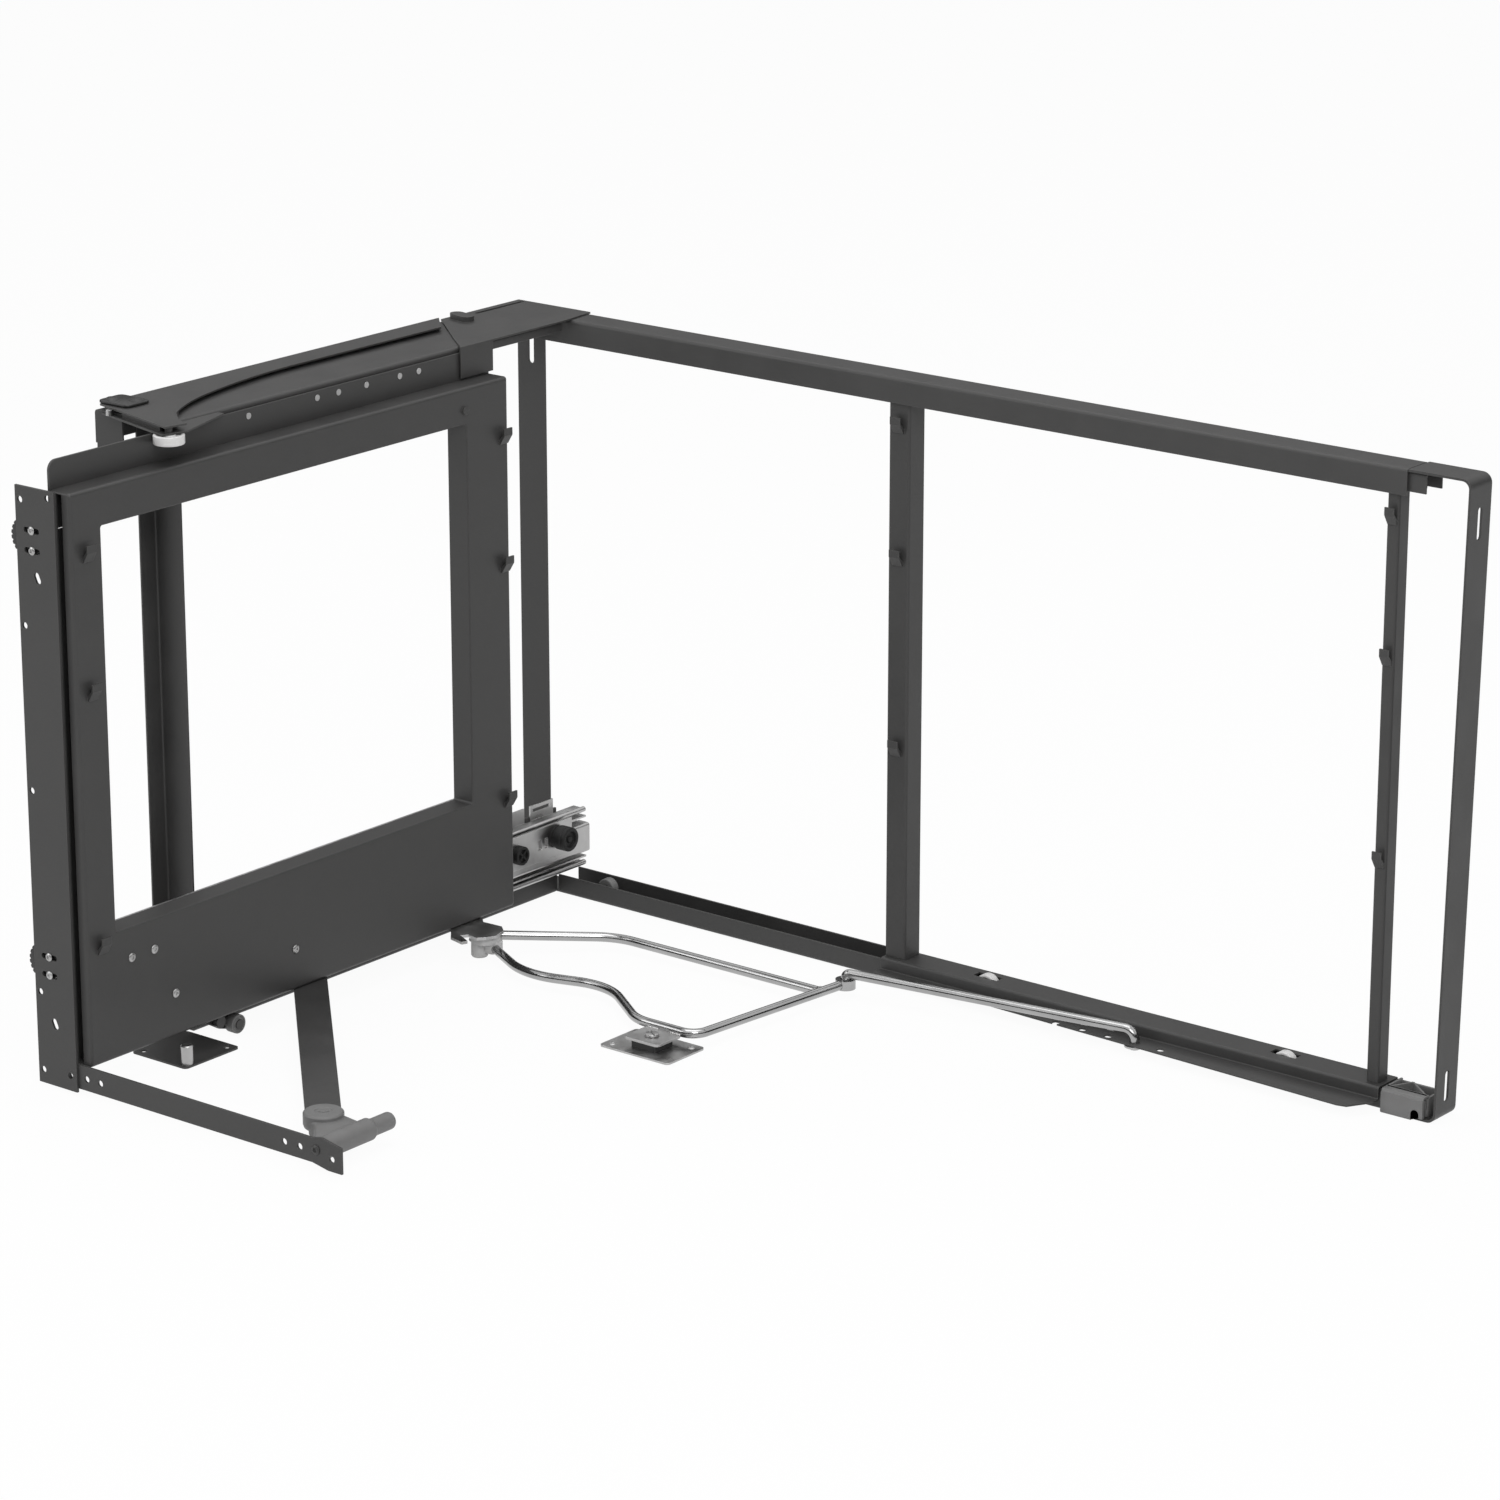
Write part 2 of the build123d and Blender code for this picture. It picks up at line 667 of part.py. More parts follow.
# Rubber buffers on the carrier plate
with BuildPart() as carrier_buffers:
    for depth, height, radius, length in ((51.8, 62.0, 10.7, 15.0), (105.0, 59.0, 8.4, 7.0)):
        rod_along((tray_inner, -depth, height), (1, 0, 0), radius, length)
        rod_along((tray_inner + length - 3, -depth, height), (1, 0, 0), radius - 4, 3, Mode.SUBTRACT)
finish(carrier_buffers, "carrier_buffers")

# Rivets of the top guide plate, nearly flush so that the guide roller passes over them
with BuildPart() as guide_plate_rivets:
    for step in (86.0, 109.0, 149.0, 182.0, 207.0, 286.0):
        rod_along((tray_inner, -(tray_back + step), guide_plate_top - 6), (1, 0, 0), 2.6, rivet_lift)
finish(guide_plate_rivets, "guide_plate_rivets")

# Lever catch: a plate under the tray that covers the lever's hub, with a finger before the hub
catch_gauge = 2.5
catch_low = tray_low - catch_gauge
hub_x, hub_y = hub_place
with BuildPart() as lever_catch:
    with BuildSketch(Plane.XY.offset(catch_low)):
        with BuildLine():
            Polyline(
                (tray_inner + 2, hub_y + 28), (hub_x - 22, hub_y + 22), (hub_x - 16, hub_y + 16),
                (hub_x + 4, hub_y + 17), (hub_x + 12, hub_y + 10), (hub_x + 16, hub_y - 4),
                (hub_x + 12.5, hub_y - 12.5), (hub_x + 7, hub_y - 18.5), (hub_x - 4, hub_y - 16.5),
                (hub_x - 8, hub_y - 22), (hub_x + 6, hub_y - 29), (hub_x + 4, hub_y - 34),
                (hub_x - 12, hub_y - 30), (hub_x - 24, hub_y - 16), (tray_inner + 2, hub_y - 6),
                close=True,
            )
        make_face()
    extrude(amount=catch_gauge)
finish(lever_catch, "lever_catch")

# Guide wheel under the tray, its bracket, its axle and a small buffer
guide_wheel_y = -465.0
guide_wheel_z = 11.0
guide_wheel_radius = 8.0
guide_wheel_width = 8.5
with BuildPart() as guide_wheel_bracket:
    wheel_side = tray_inner + 5
    with BuildSketch(Plane.YZ.offset(wheel_side - plate_gauge)):
        with BuildLine():
            Polyline(
                (guide_wheel_y + 6, 6), (guide_wheel_y + 12, tray_low), (guide_wheel_y - 26, tray_low),
                (guide_wheel_y - 26, 16), (guide_wheel_y - 14, 9), (guide_wheel_y - 4, 6), close=True,
            )
        make_face()
    extrude(amount=plate_gauge)
    rod_along((wheel_side, guide_wheel_y, guide_wheel_z), (1, 0, 0), axle, guide_wheel_width + 1)
    rod_along((wheel_side + guide_wheel_width + 1, guide_wheel_y, guide_wheel_z), (1, 0, 0), 4.2, 1.0)
    rod_along((wheel_side, guide_wheel_y - 17, 17), (1, 0, 0), 5.0, 6.0)
finish(guide_wheel_bracket, "guide_wheel_bracket")

with BuildPart() as guide_wheel:
    start = (wheel_side + 0.5, guide_wheel_y, guide_wheel_z)
    rod_along(start, (1, 0, 0), guide_wheel_radius, guide_wheel_width)
    rod_along(start, (1, 0, 0), axle + axle_fit, guide_wheel_width, Mode.SUBTRACT)
finish(guide_wheel, "guide_wheel")

# Door strip: a folded strip with the holes that the door is screwed through
strip_mid_hole = 245.0
round_holes = (
    (55.0, door_strip_high - 11), (door_strip_right - 7, door_strip_high - 6), (55.0, door_strip_high - 111),
    (55.0, strip_mid_hole), (55.0, 80.0), (55.0, 15.0),
)
adjuster_heights = (knob_heights[0] - 8, knob_heights[0] + 7, knob_heights[1] - 9, knob_heights[1] + 7)
adjuster_x = 66.5
bar_holes = (door_strip_right - 7, 101.0, 116.0, 313.0, 329.0)
bar_hole_height = 16.5
with BuildPart() as door_strip:
    block(
        (door_strip_left, door_strip_right), (door_back, door_face), (door_strip_low, door_strip_high),
    )
    with BuildSketch(Plane.XZ.offset(door_back)):
        with Locations(*round_holes, (bar_holes[0], bar_hole_height)):
            Circle(door_hole / 2)
        with Locations((71.0, door_strip_high - 71), (70.0, 56.0)):
            SlotOverall(door_hole + 4, door_hole, rotation=115)
        for height in adjuster_heights:
            with Locations((adjuster_x, height)):
                SlotOverall(17, 4.6)
    extrude(amount=door_strip_gauge, mode=Mode.SUBTRACT)
finish(door_strip, "door_strip")

# Door bar: runs along the door's bottom edge, behind the strip's lower end
with BuildPart() as door_bar:
    with BuildSketch(Plane.XZ.offset(bar_back)):
        with BuildLine():
            Polyline(
                (door_bar_left, door_bar_low), (door_bar_right - 30, door_bar_low),
                (door_bar_right - 14, door_bar_low - 3), (door_bar_right, door_bar_low - 3),
                (door_bar_right, door_bar_high - 2), (door_bar_right - 20, door_bar_high + 2),
                (door_bar_right - 30, door_bar_high), (door_bar_left, door_bar_high), close=True,
            )
        make_face()
        with Locations(*((x, bar_hole_height) for x in bar_holes), (door_bar_right - 10, 14)):
            Circle(door_hole / 2, mode=Mode.SUBTRACT)
    extrude(amount=door_strip_gauge)
finish(door_bar, "door_bar")

# Screws that show on the front frame: four in the tray, one in the bar, four in the strip
tray_screws = (
    (tray_front - 48, 104.0), (tray_front - 73, 104.0), (tray_front - 95, 61.0), (tray_back + 271, 60.0),
)
with BuildPart() as front_frame_screws:
    for depth, height in tray_screws:
        rod_along((frame_face, -depth, height), (1, 0, 0), 4.2, 1.4)
    rod_along((door_bar_right - 26, -door_back, 18), (0, -1, 0), 4.0, 1.6)
    for height in adjuster_heights:
        rod_along((adjuster_x, -door_face, height), (0, -1, 0), 3.4, 1.5)
        rod_along((adjuster_x, -door_back, height), (0, -1, 0), 2.1, door_strip_gauge)
finish(front_frame_screws, "front_frame_screws")

# Adjuster bracket: an angle behind the tray's front beam, with a leg behind each adjuster wheel
knob_play = 0.5
knob_front = door_back - knob_play
knob_back = knob_front - knob_width
bracket_face = knob_back - knob_play
bracket_gauge = 2.0
with BuildPart() as adjuster_brackets:
    block(
        (tray_inner - bracket_gauge, tray_inner), (tray_front - 34, bracket_face),
        (tray_low + slide_gap, window_high - slide_gap),
    )
    for centre in knob_heights:
        leg = (knob_x - 10, tray_inner)
        block(leg, (bracket_face - bracket_gauge, bracket_face), (centre - 16, centre + 8))
        rod_along((knob_x, -bracket_face + bracket_gauge, centre), (0, 1, 0), axle + 2, 2.0)
finish(adjuster_brackets, "adjuster_brackets")

with BuildPart() as adjuster_wheel_pins:
    for centre in knob_heights:
        rod_along((knob_x, -bracket_face, centre), (0, -1, 0), axle, door_back - bracket_face)
finish(adjuster_wheel_pins, "adjuster_wheel_pins")

for name, height in zip(("lower_adjuster_wheel", "upper_adjuster_wheel"), knob_heights):
    with BuildPart() as adjuster_wheel:
        with BuildSketch(Plane.XZ.offset(knob_back)):
            with Locations((knob_x, height)):
                Circle(knob_radius)
                Circle(axle + axle_fit, mode=Mode.SUBTRACT)
                with PolarLocations(knob_radius + 0.8, 12):
                    Circle(1.8, mode=Mode.SUBTRACT)
        extrude(amount=knob_width)
    finish(adjuster_wheel, name)

# Brace: a flat bar under the tray that runs slantwise to the door bar's far end
brace_start = (tray_inner + 10, -376.5)
brace_end = (312.0, -596.0)
brace_low = tray_low - brace_gauge
brace_length = hypot(brace_end[0] - brace_start[0], brace_end[1] - brace_start[1])
brace_angle = degrees(atan2(brace_end[1] - brace_start[1], brace_end[0] - brace_start[0]))
brace_middle = ((brace_start[0] + brace_end[0]) / 2, (brace_start[1] + brace_end[1]) / 2)
with BuildPart() as brace_bar:
    with BuildSketch(Plane.XY.offset(brace_low)):
        with Locations(brace_middle):
            SlotOverall(brace_length + brace_width, brace_width, rotation=brace_angle)
    extrude(amount=brace_gauge)
finish(brace_bar, "brace_bar")

# Brace connector: grey plastic, with a disc round the brace's end and a stepped peg
peg_x = door_bar_right - 26
peg_height = 17.0
peg_length = 82.0
connector_radius = brace_width / 2 + 2
with BuildPart() as brace_connector:
    with Locations((*brace_end, brace_low - 7)):
        Cylinder(connector_radius, brace_gauge + 10, align=standing)
    with BuildSketch(Plane.XY.offset(peg_height - 5)):
        with BuildLine():
            Polyline(
                (brace_end[0] + 10, brace_end[1] + 12), (peg_x, brace_end[1] + 2),
                (peg_x, brace_end[1] - 42), (brace_end[0] - 2, brace_end[1] - 16), close=True,
            )
        make_face()
    extrude(amount=11)
    rod_along((peg_x, -bar_back, peg_height), (0, 1, 0), 9.0, peg_length - 24)
    rod_along((peg_x, -bar_back, peg_height), (0, 1, 0), 7.0, peg_length)
    fillet(brace_connector.faces().sort_by(Axis.Y)[-1].edges(), 3.0)
    with BuildSketch(Plane.XY.offset(brace_low)):
        with Locations(brace_middle):
            SlotOverall(brace_length + brace_width, brace_width, rotation=brace_angle)
    extrude(amount=brace_gauge, mode=Mode.SUBTRACT)
finish(brace_connector, "brace_connector")

# Rear frame channel: its top sheet covers the track and its flange takes the link
wheel_y = -track_depth / 2
wheel_height = sheet + roll_gap + wheel_radius
lug_inner = wheel_width / 2 + 0.6
lug_outer = lug_inner + sheet
wheel_axle = 2.0
channel_right = rear_right + 4
with BuildPart() as rear_channel:
    half = sheet / 2
    fold = -channel_fold - half
    folded(
        Plane.YZ.offset(rear_left),
        [
            (-3, channel_top - half), (fold, channel_top - half),
            (fold, flange_top - half), (-64, flange_top - half),
        ],
        sheet,
        channel_right - rear_left,
        radius=0.8,
    )
    with BuildSketch(Plane.XY.offset(flange_top - 4)):
        with BuildLine():
            Polyline(
                (rear_left, -41), (channel_right - 20, -60), (channel_right - 12, -58),
                (channel_right, -38), (channel_right, -80), (rear_left, -80), close=True,
            )
        make_face()
    extrude(amount=8, mode=Mode.SUBTRACT)
    for x in wheel_x:
        slot_half = wheel_radius + 2
        block(
            (x - slot_half, x + slot_half), (-wheel_y - lug_outer, -wheel_y + lug_outer),
            (channel_top - sheet, channel_top), Mode.SUBTRACT,
        )
        for near in (-wheel_y - lug_outer, -wheel_y + lug_inner):
            block((x - 6, x + 6), (near, near + sheet), (wheel_height - 5, channel_top))
            block((x - slot_half, x + slot_half), (near, near + sheet), (channel_top - sheet, channel_top))
        rod_along((x, wheel_y - lug_outer, wheel_height), (0, 1, 0), wheel_axle, 2 * lug_outer, Mode.SUBTRACT)
    for x in (link_hole[0] - 76, link_hole[0] - 50, link_hole[0] - 25, link_hole[0] + 26):
        rod_along((x, link_hole[1] - 1, flange_top - sheet), (0, 0, 1), 3.6, sheet, Mode.SUBTRACT)
    rod_along((*link_hole, flange_top - sheet), (0, 0, 1), rod + axle_fit, sheet, Mode.SUBTRACT)
finish(rear_channel, "rear_channel")

with BuildPart() as wheel_axles:
    for x in wheel_x:
        rod_along((x, wheel_y - lug_outer, wheel_height), (0, 1, 0), wheel_axle, 2 * lug_outer)
finish(wheel_axles, "wheel_axles")

for name, x in zip(("rear_wheel_left", "rear_wheel_right"), wheel_x):
    with BuildPart() as rear_wheel:
        start = (x, wheel_y - wheel_width / 2, wheel_height)
        rod_along(start, (0, 1, 0), wheel_radius, wheel_width)
        rod_along(start, (0, 1, 0), wheel_axle + axle_fit, wheel_width, Mode.SUBTRACT)
    finish(rear_wheel, name)


def rear_upright(x, width, depth):
    """A channel that stands on the rear frame's channel, open to the back, with three hooks."""
    half = sheet / 2
    front = -rear_front + half
    folded(
        Plane.XY.offset(channel_top),
        [
            (x + half, depth - rear_front), (x + half, front),
            (x + width - half, front), (x + width - half, depth - rear_front),
        ],
        sheet,
        carrier_low - channel_top,
        radius=0.8,
    )
    hook = min(hook_width, width - 2 * sheet)
    for height in (carrier_low - 26, carrier_low - 137, carrier_low - 299):
        with BuildSketch(Plane.YZ.offset(x + (width - hook) / 2)) as side:
            hook_profile(-rear_front + half, -1, height)
        extrude(side.sketch, amount=hook)


# Rear uprights: two channels of different size
with BuildPart() as rear_left_upright:
    rear_upright(rear_left, left_upright_width, left_upright_depth)
finish(rear_left_upright, "rear_left_upright")

with BuildPart() as rear_right_upright:
    rear_upright(rear_right - right_upright_width, right_upright_width, right_upright_depth)
finish(rear_right_upright, "rear_right_upright")

# Top carrier: a flat bar in the rear top rail that joins the uprights and holds the rollers
carrier_top = carrier_low + carrier_gauge
with BuildPart() as rear_top_carrier:
    block((rear_left, rear_right), (8, rear_front - 4), (carrier_low, carrier_top))
    for x in top_roller_x:
        rod_along((x, rail_mid_y, carrier_top), (0, 0, 1), axle, top_roller_height + 1.5)
        rod_along((x, rail_mid_y, carrier_top), (0, 0, 1), axle + 2, 1.2)
finish(rear_top_carrier, "rear_top_carrier")

for name, x in zip(("top_roller_left", "top_roller_right"), top_roller_x):
    with BuildPart() as top_roller:
        start = (x, rail_mid_y, carrier_top + 1.5)
        rod_along(start, (0, 0, 1), top_roller_radius, top_roller_height)
        rod_along(start, (0, 0, 1), axle + axle_fit, top_roller_height, Mode.SUBTRACT)
    finish(top_roller, name)

# Lever: a main rod bent round the pivot plate and ending in an eye, a brace rod and a hub
corner_y = lever_bends[-1][1]
eye_radius = 8.5
weld = 0.5                  # how far a welded rod sinks into the other
with BuildPart() as lever_main_rod:
    wire(
        [
            (hub_x + 4, hub_y + 4, lever_height),
            *((x, y, lever_height) for x, y in lever_bends),
            (lever_corner, corner_y, lever_height),
            (eye[0], eye[1], lever_height),
        ],
        [70, 60, 40, 14],
    )
    rod_along((*eye, lever_height - rod), (0, 0, 1), eye_radius, 2 * rod)
    rod_along((*eye, lever_height - rod), (0, 0, 1), rod + 0.4, 2 * rod, Mode.SUBTRACT)
finish(lever_main_rod, "lever_main_rod")

brace_rise = 6.0            # the brace rod enters the hub this far above the main rod
leg_share = (brace_bend[1] - corner_y) / (eye[1] - corner_y)
leg_x = lever_corner + (eye[0] - lever_corner) * leg_share
with BuildPart() as lever_brace_rod:
    wire(
        [
            (hub_x - 5, hub_y + 11, lever_height + brace_rise),
            (*brace_bend, lever_height),
            (leg_x - rod + weld, brace_bend[1], lever_height),
        ],
        [45],
    )
finish(lever_brace_rod, "lever_brace_rod")

hub_top = catch_low - slide_gap
hub_disc = 6.0              # thickness of the hub's disc
with BuildPart() as lever_hub:
    with Locations((hub_x, hub_y, hub_top - hub_disc)):
        Cylinder(hub_radius, hub_disc, align=standing)
    fillet(lever_hub.edges().group_by(Axis.Z)[-1], 1.0)
    socket_low = lever_height - rod - 0.7
    rod_along((hub_x + 4.5, hub_y + 4.5, socket_low), (0, 0, 1), 9.5, hub_top - hub_disc - socket_low)
    rod_along((hub_x - 4.5, hub_y - 2, 2.0), (0, 0, 1), 7.3, hub_top - hub_disc - 2.0)
finish(lever_hub, "lever_hub")

with BuildPart() as lever_pivot_plate:
    plate_back = corner_y - rod + weld
    plate_front = pivot[1] - 15
    with BuildSketch(Plane.XY.offset(lever_plate_low)):
        with Locations((pivot[0], (plate_back + plate_front) / 2)):
            RectangleRounded(36, plate_back - plate_front, 4)
        with Locations(pivot):
            Circle(axle + axle_fit, mode=Mode.SUBTRACT)
    extrude(amount=lever_plate_gauge)
finish(lever_pivot_plate, "lever_pivot_plate")

# Link rod: pinned in the moving channel, with its other end over the lever's eye
with BuildPart() as link_rod:
    wire(
        [
            (*eye, lever_top + 0.5),
            (*eye, link_height),
            (*link_hole, link_height),
            (*link_hole, 4.0),
        ],
        [4.3, 9],
    )
finish(link_rod, "link_rod")

with BuildPart() as link_washer:
    with BuildSketch(Plane.XY.offset(flange_top - sheet - roll_gap - 1.5)):
        with Locations(link_hole):
            Circle(eye_radius)
            Circle(rod, mode=Mode.SUBTRACT)
    extrude(amount=1.5)
finish(link_washer, "link_washer")
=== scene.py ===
# %% [markdown]
# # A corner cabinet pull-out, dressed for a photograph
# The object is a steel mechanism for a kitchen's corner cabinet. A fixed frame lines the back
# and the left wall, a front frame slides out along the left wall and a bent rod lever draws
# the rear frame across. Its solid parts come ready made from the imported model. This lesson
# gives them their finishes, rebuilds the small moulded and turned pieces with softer shapes,
# and sets up the light and the camera.

# %% Start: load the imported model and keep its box
import json
import math

import bmesh
import bpy
from mathutils import Matrix, Vector


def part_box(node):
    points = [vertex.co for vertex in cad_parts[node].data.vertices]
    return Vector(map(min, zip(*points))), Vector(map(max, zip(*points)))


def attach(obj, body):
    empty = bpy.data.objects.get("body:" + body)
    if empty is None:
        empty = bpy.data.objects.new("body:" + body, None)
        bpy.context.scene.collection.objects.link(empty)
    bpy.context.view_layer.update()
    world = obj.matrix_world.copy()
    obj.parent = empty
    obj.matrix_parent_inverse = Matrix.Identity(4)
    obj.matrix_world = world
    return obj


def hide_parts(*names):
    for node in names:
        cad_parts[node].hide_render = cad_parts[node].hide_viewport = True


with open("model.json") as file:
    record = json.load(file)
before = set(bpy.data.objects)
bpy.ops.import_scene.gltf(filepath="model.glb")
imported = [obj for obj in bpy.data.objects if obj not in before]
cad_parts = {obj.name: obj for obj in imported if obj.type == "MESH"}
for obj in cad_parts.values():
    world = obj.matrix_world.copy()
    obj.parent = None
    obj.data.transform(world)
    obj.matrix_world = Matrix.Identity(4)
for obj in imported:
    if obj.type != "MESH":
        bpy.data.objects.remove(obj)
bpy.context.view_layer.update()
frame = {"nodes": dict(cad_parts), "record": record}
nodes = frame["nodes"]
MM = 0.001

# %% [markdown]
# ## Smooth where it is round, sharp where it is folded
# Rods, rollers and folds are round on the real object, but a mesh is made of flat faces.
# Smooth shading hides the faces, and marking every edge sharper than 35 degrees keeps the
# folded sheet crisp. Only the shading changes: the corner points of a mesh stay where they are.

# %% Shade the ready made solids
CRISP_ANGLE = math.radians(35)


def shade(mesh):
    """Smooth shading that stays sharp across edges steeper than the crisp angle."""
    mesh.shade_smooth()
    mesh.set_sharp_from_angle(angle=CRISP_ANGLE)


for solid in nodes.values():
    shade(solid.data)
print("shaded", len(nodes), "solids")

# %% [markdown]
# ## How a finish is written
# Every finish here is a Principled shader whose colour, roughness and bump come from noise
# measured in metres on the piece itself, so that a speck of powder coat has the same size on a
# small bracket and on a long rail. The helper below makes the nodes that all finishes share:
# object coordinates, a noise of a given grain size, and a ramp that turns noise into values.

# %% Helpers for the finishes
BEVEL_SAMPLES = 6


def linear(level):
    """The linear value of a level, 0 to 255, that a picture shows."""
    share = level / 255
    return share / 12.92 if share <= 0.04045 else ((share + 0.055) / 1.055) ** 2.4


def grey(level, warmth=0.0):
    """A grey in linear colour. Warmth moves it a little from blue to red."""
    value = linear(level)
    return (value * (1 + warmth), value, value * (1 - warmth), 1.0)


class Finish:
    """A material under construction: its node tree, its shader and its coordinates."""

    def __init__(self, name, colour, roughness, metallic=0.0):
        self.material = bpy.data.materials.new(name)
        self.material.use_nodes = True
        self.tree = self.material.node_tree
        self.shader = self.tree.nodes["Principled BSDF"]
        self.shader.inputs["Base Color"].default_value = colour
        self.shader.inputs["Roughness"].default_value = roughness
        self.shader.inputs["Metallic"].default_value = metallic
        self.material.diffuse_color = colour
        self.place = self.tree.nodes.new("ShaderNodeTexCoord").outputs["Object"]

    def node(self, kind, **values):
        made = self.tree.nodes.new(kind)
        for key, value in values.items():
            setattr(made, key, value)
        return made

    def join(self, source, target):
        self.tree.links.new(source, target)

    def noise(self, grain, detail=4.0, stretch=(1, 1, 1)):
        """Noise whose blobs are about one grain across, in metres."""
        mapping = self.node("ShaderNodeMapping")
        mapping.inputs["Scale"].default_value = stretch
        self.join(self.place, mapping.inputs["Vector"])
        texture = self.node("ShaderNodeTexNoise")
        texture.inputs["Scale"].default_value = 1 / grain
        texture.inputs["Detail"].default_value = detail
        self.join(mapping.outputs["Vector"], texture.inputs["Vector"])
        return texture.outputs["Fac"]

    def spread(self, value, low, high, out_low=0.0, out_high=1.0):
        """Maps a value's range onto another range, held at its ends."""
        mapped = self.node("ShaderNodeMapRange")
        for key, number in (("From Min", low), ("From Max", high), ("To Min", out_low), ("To Max", out_high)):
            mapped.inputs[key].default_value = number
        self.join(value, mapped.inputs["Value"])
        return mapped.outputs["Result"]

    def blend(self, share, first, second):
        """Mixes two colours. Each is a colour or a socket."""
        mix = self.node("ShaderNodeMix", data_type="RGBA")
        self.join(share, mix.inputs["Factor"])
        for key, colour in (("A", first), ("B", second)):
            socket = [s for s in mix.inputs if s.name == key and s.type == "RGBA"][0]
            if isinstance(colour, tuple):
                socket.default_value = colour
            else:
                self.join(colour, socket)
        return [s for s in mix.outputs if s.type == "RGBA"][0]

    def edge_mask(self, width):
        """About 1 on the outer edges of the piece and 0 on its faces."""
        rounded = self.node("ShaderNodeBevel", samples=BEVEL_SAMPLES)
        rounded.inputs["Radius"].default_value = width
        true = self.node("ShaderNodeNewGeometry")
        dot = self.node("ShaderNodeVectorMath", operation="DOT_PRODUCT")
        self.join(rounded.outputs["Normal"], dot.inputs[0])
        self.join(true.outputs["Normal"], dot.inputs[1])
        return self.spread(dot.outputs["Value"], 0.99, 0.8)

    def bump(self, height, strength, distance, edge=0.0):
        """Bump from a height, over edges that are rounded by a small radius."""
        bump = self.node("ShaderNodeBump")
        bump.inputs["Strength"].default_value = strength
        bump.inputs["Distance"].default_value = distance
        self.join(height, bump.inputs["Height"])
        if edge:
            rounded = self.node("ShaderNodeBevel", samples=BEVEL_SAMPLES)
            rounded.inputs["Radius"].default_value = edge
            self.join(rounded.outputs["Normal"], bump.inputs["Normal"])
        self.join(bump.outputs["Normal"], self.shader.inputs["Normal"])


# %% [markdown]
# ## Powder coat
# The rails, the frames and the strips are folded steel under a matt anthracite powder coat.
# Seen close it is a fine orange peel with a slightly uneven gloss, and on edges the powder
# lies thinner. Noise at half a millimetre makes the peel, a slow noise of some centimetres
# makes the uneven tone, and a bevel mask finds the edges, where a paler colour is a painted
# highlight along the folds and rims.

# %% Powder coat
COAT_LEVEL = 57
COAT_CLOUD, COAT_SPECK, COAT_PEEL = 0.035, 0.0006, 0.0005
COAT_HIGHLIGHT_EDGE, COAT_ROUND, PEEL_DEPTH = 0.0008, 0.0005, 0.00008


def powder_coat(name, level):
    """A matt coat. The grains, the edges and the depth above are in metres."""
    finish = Finish(name, grey(level, 0.01), 0.46)
    finish.shader.inputs["Specular IOR Level"].default_value = 0.42
    tone = finish.spread(finish.noise(COAT_CLOUD, 3.0), 0.3, 0.7)
    speck = finish.spread(finish.noise(COAT_SPECK, 2.0), 0.35, 0.7)
    colour = finish.blend(tone, grey(level - 3, 0.01), grey(level + 3, 0.015))
    colour = finish.blend(finish.spread(speck, 0.0, 1.0, 0.0, 0.16), colour, grey(level + 22, 0.01))
    # Paler edges: a painted highlight along the folds and rims, where the powder also lies thinner.
    colour = finish.blend(finish.edge_mask(COAT_HIGHLIGHT_EDGE), colour, grey(level + 26, 0.02))
    finish.join(colour, finish.shader.inputs["Base Color"])
    finish.join(finish.spread(tone, 0.0, 1.0, 0.41, 0.52), finish.shader.inputs["Roughness"])
    finish.bump(finish.noise(COAT_PEEL, 2.0), 0.25, PEEL_DEPTH, edge=COAT_ROUND)
    return finish.material


coat = powder_coat("anthracite powder coat", COAT_LEVEL)
print("made", coat.name)

# %% [markdown]
# ## Zinc and chrome
# The runner, its plates and the screws are zinc plated: a dull grey metal, brushed along its
# length and a little cloudy. The lever and the link are round wire with bright chrome. Chrome
# has almost no colour of its own, so what sells it is what it mirrors, and only a faint haze
# is added.

# %% Zinc plate and chrome plate
ZINC_LEVEL, CHROME_LEVEL = 180, 168
ZINC_CLOUD, ZINC_BRUSH, ZINC_HIGHLIGHT_EDGE = 0.02, 0.0007, 0.0006
ZINC_ROUND, BRUSH_DEPTH = 0.0003, 0.00005
ALONG_THE_DEPTH = (1, 0.04, 1)
CHROME_HAZE, CHROME_WAVE, WAVE_DEPTH = 0.03, 0.006, 0.00006


def zinc_plate(name, level):
    """Dull grey metal, cloudy, with fine brush lines that run from front to back, and edges painted paler as
    a highlight.
    """
    finish = Finish(name, grey(level), 0.34, metallic=1.0)
    cloud = finish.spread(finish.noise(ZINC_CLOUD, 4.0), 0.3, 0.7)
    colour = finish.blend(cloud, grey(level - 14, 0.01), grey(level + 10))
    # Paler edges: a painted highlight along the rims of the zinc parts.
    colour = finish.blend(finish.edge_mask(ZINC_HIGHLIGHT_EDGE), colour, grey(level + 35))
    finish.join(colour, finish.shader.inputs["Base Color"])
    finish.join(finish.spread(cloud, 0.0, 1.0, 0.26, 0.44), finish.shader.inputs["Roughness"])
    brush = finish.noise(ZINC_BRUSH, 3.0, stretch=ALONG_THE_DEPTH)
    finish.bump(brush, 0.2, BRUSH_DEPTH, edge=ZINC_ROUND)
    return finish.material


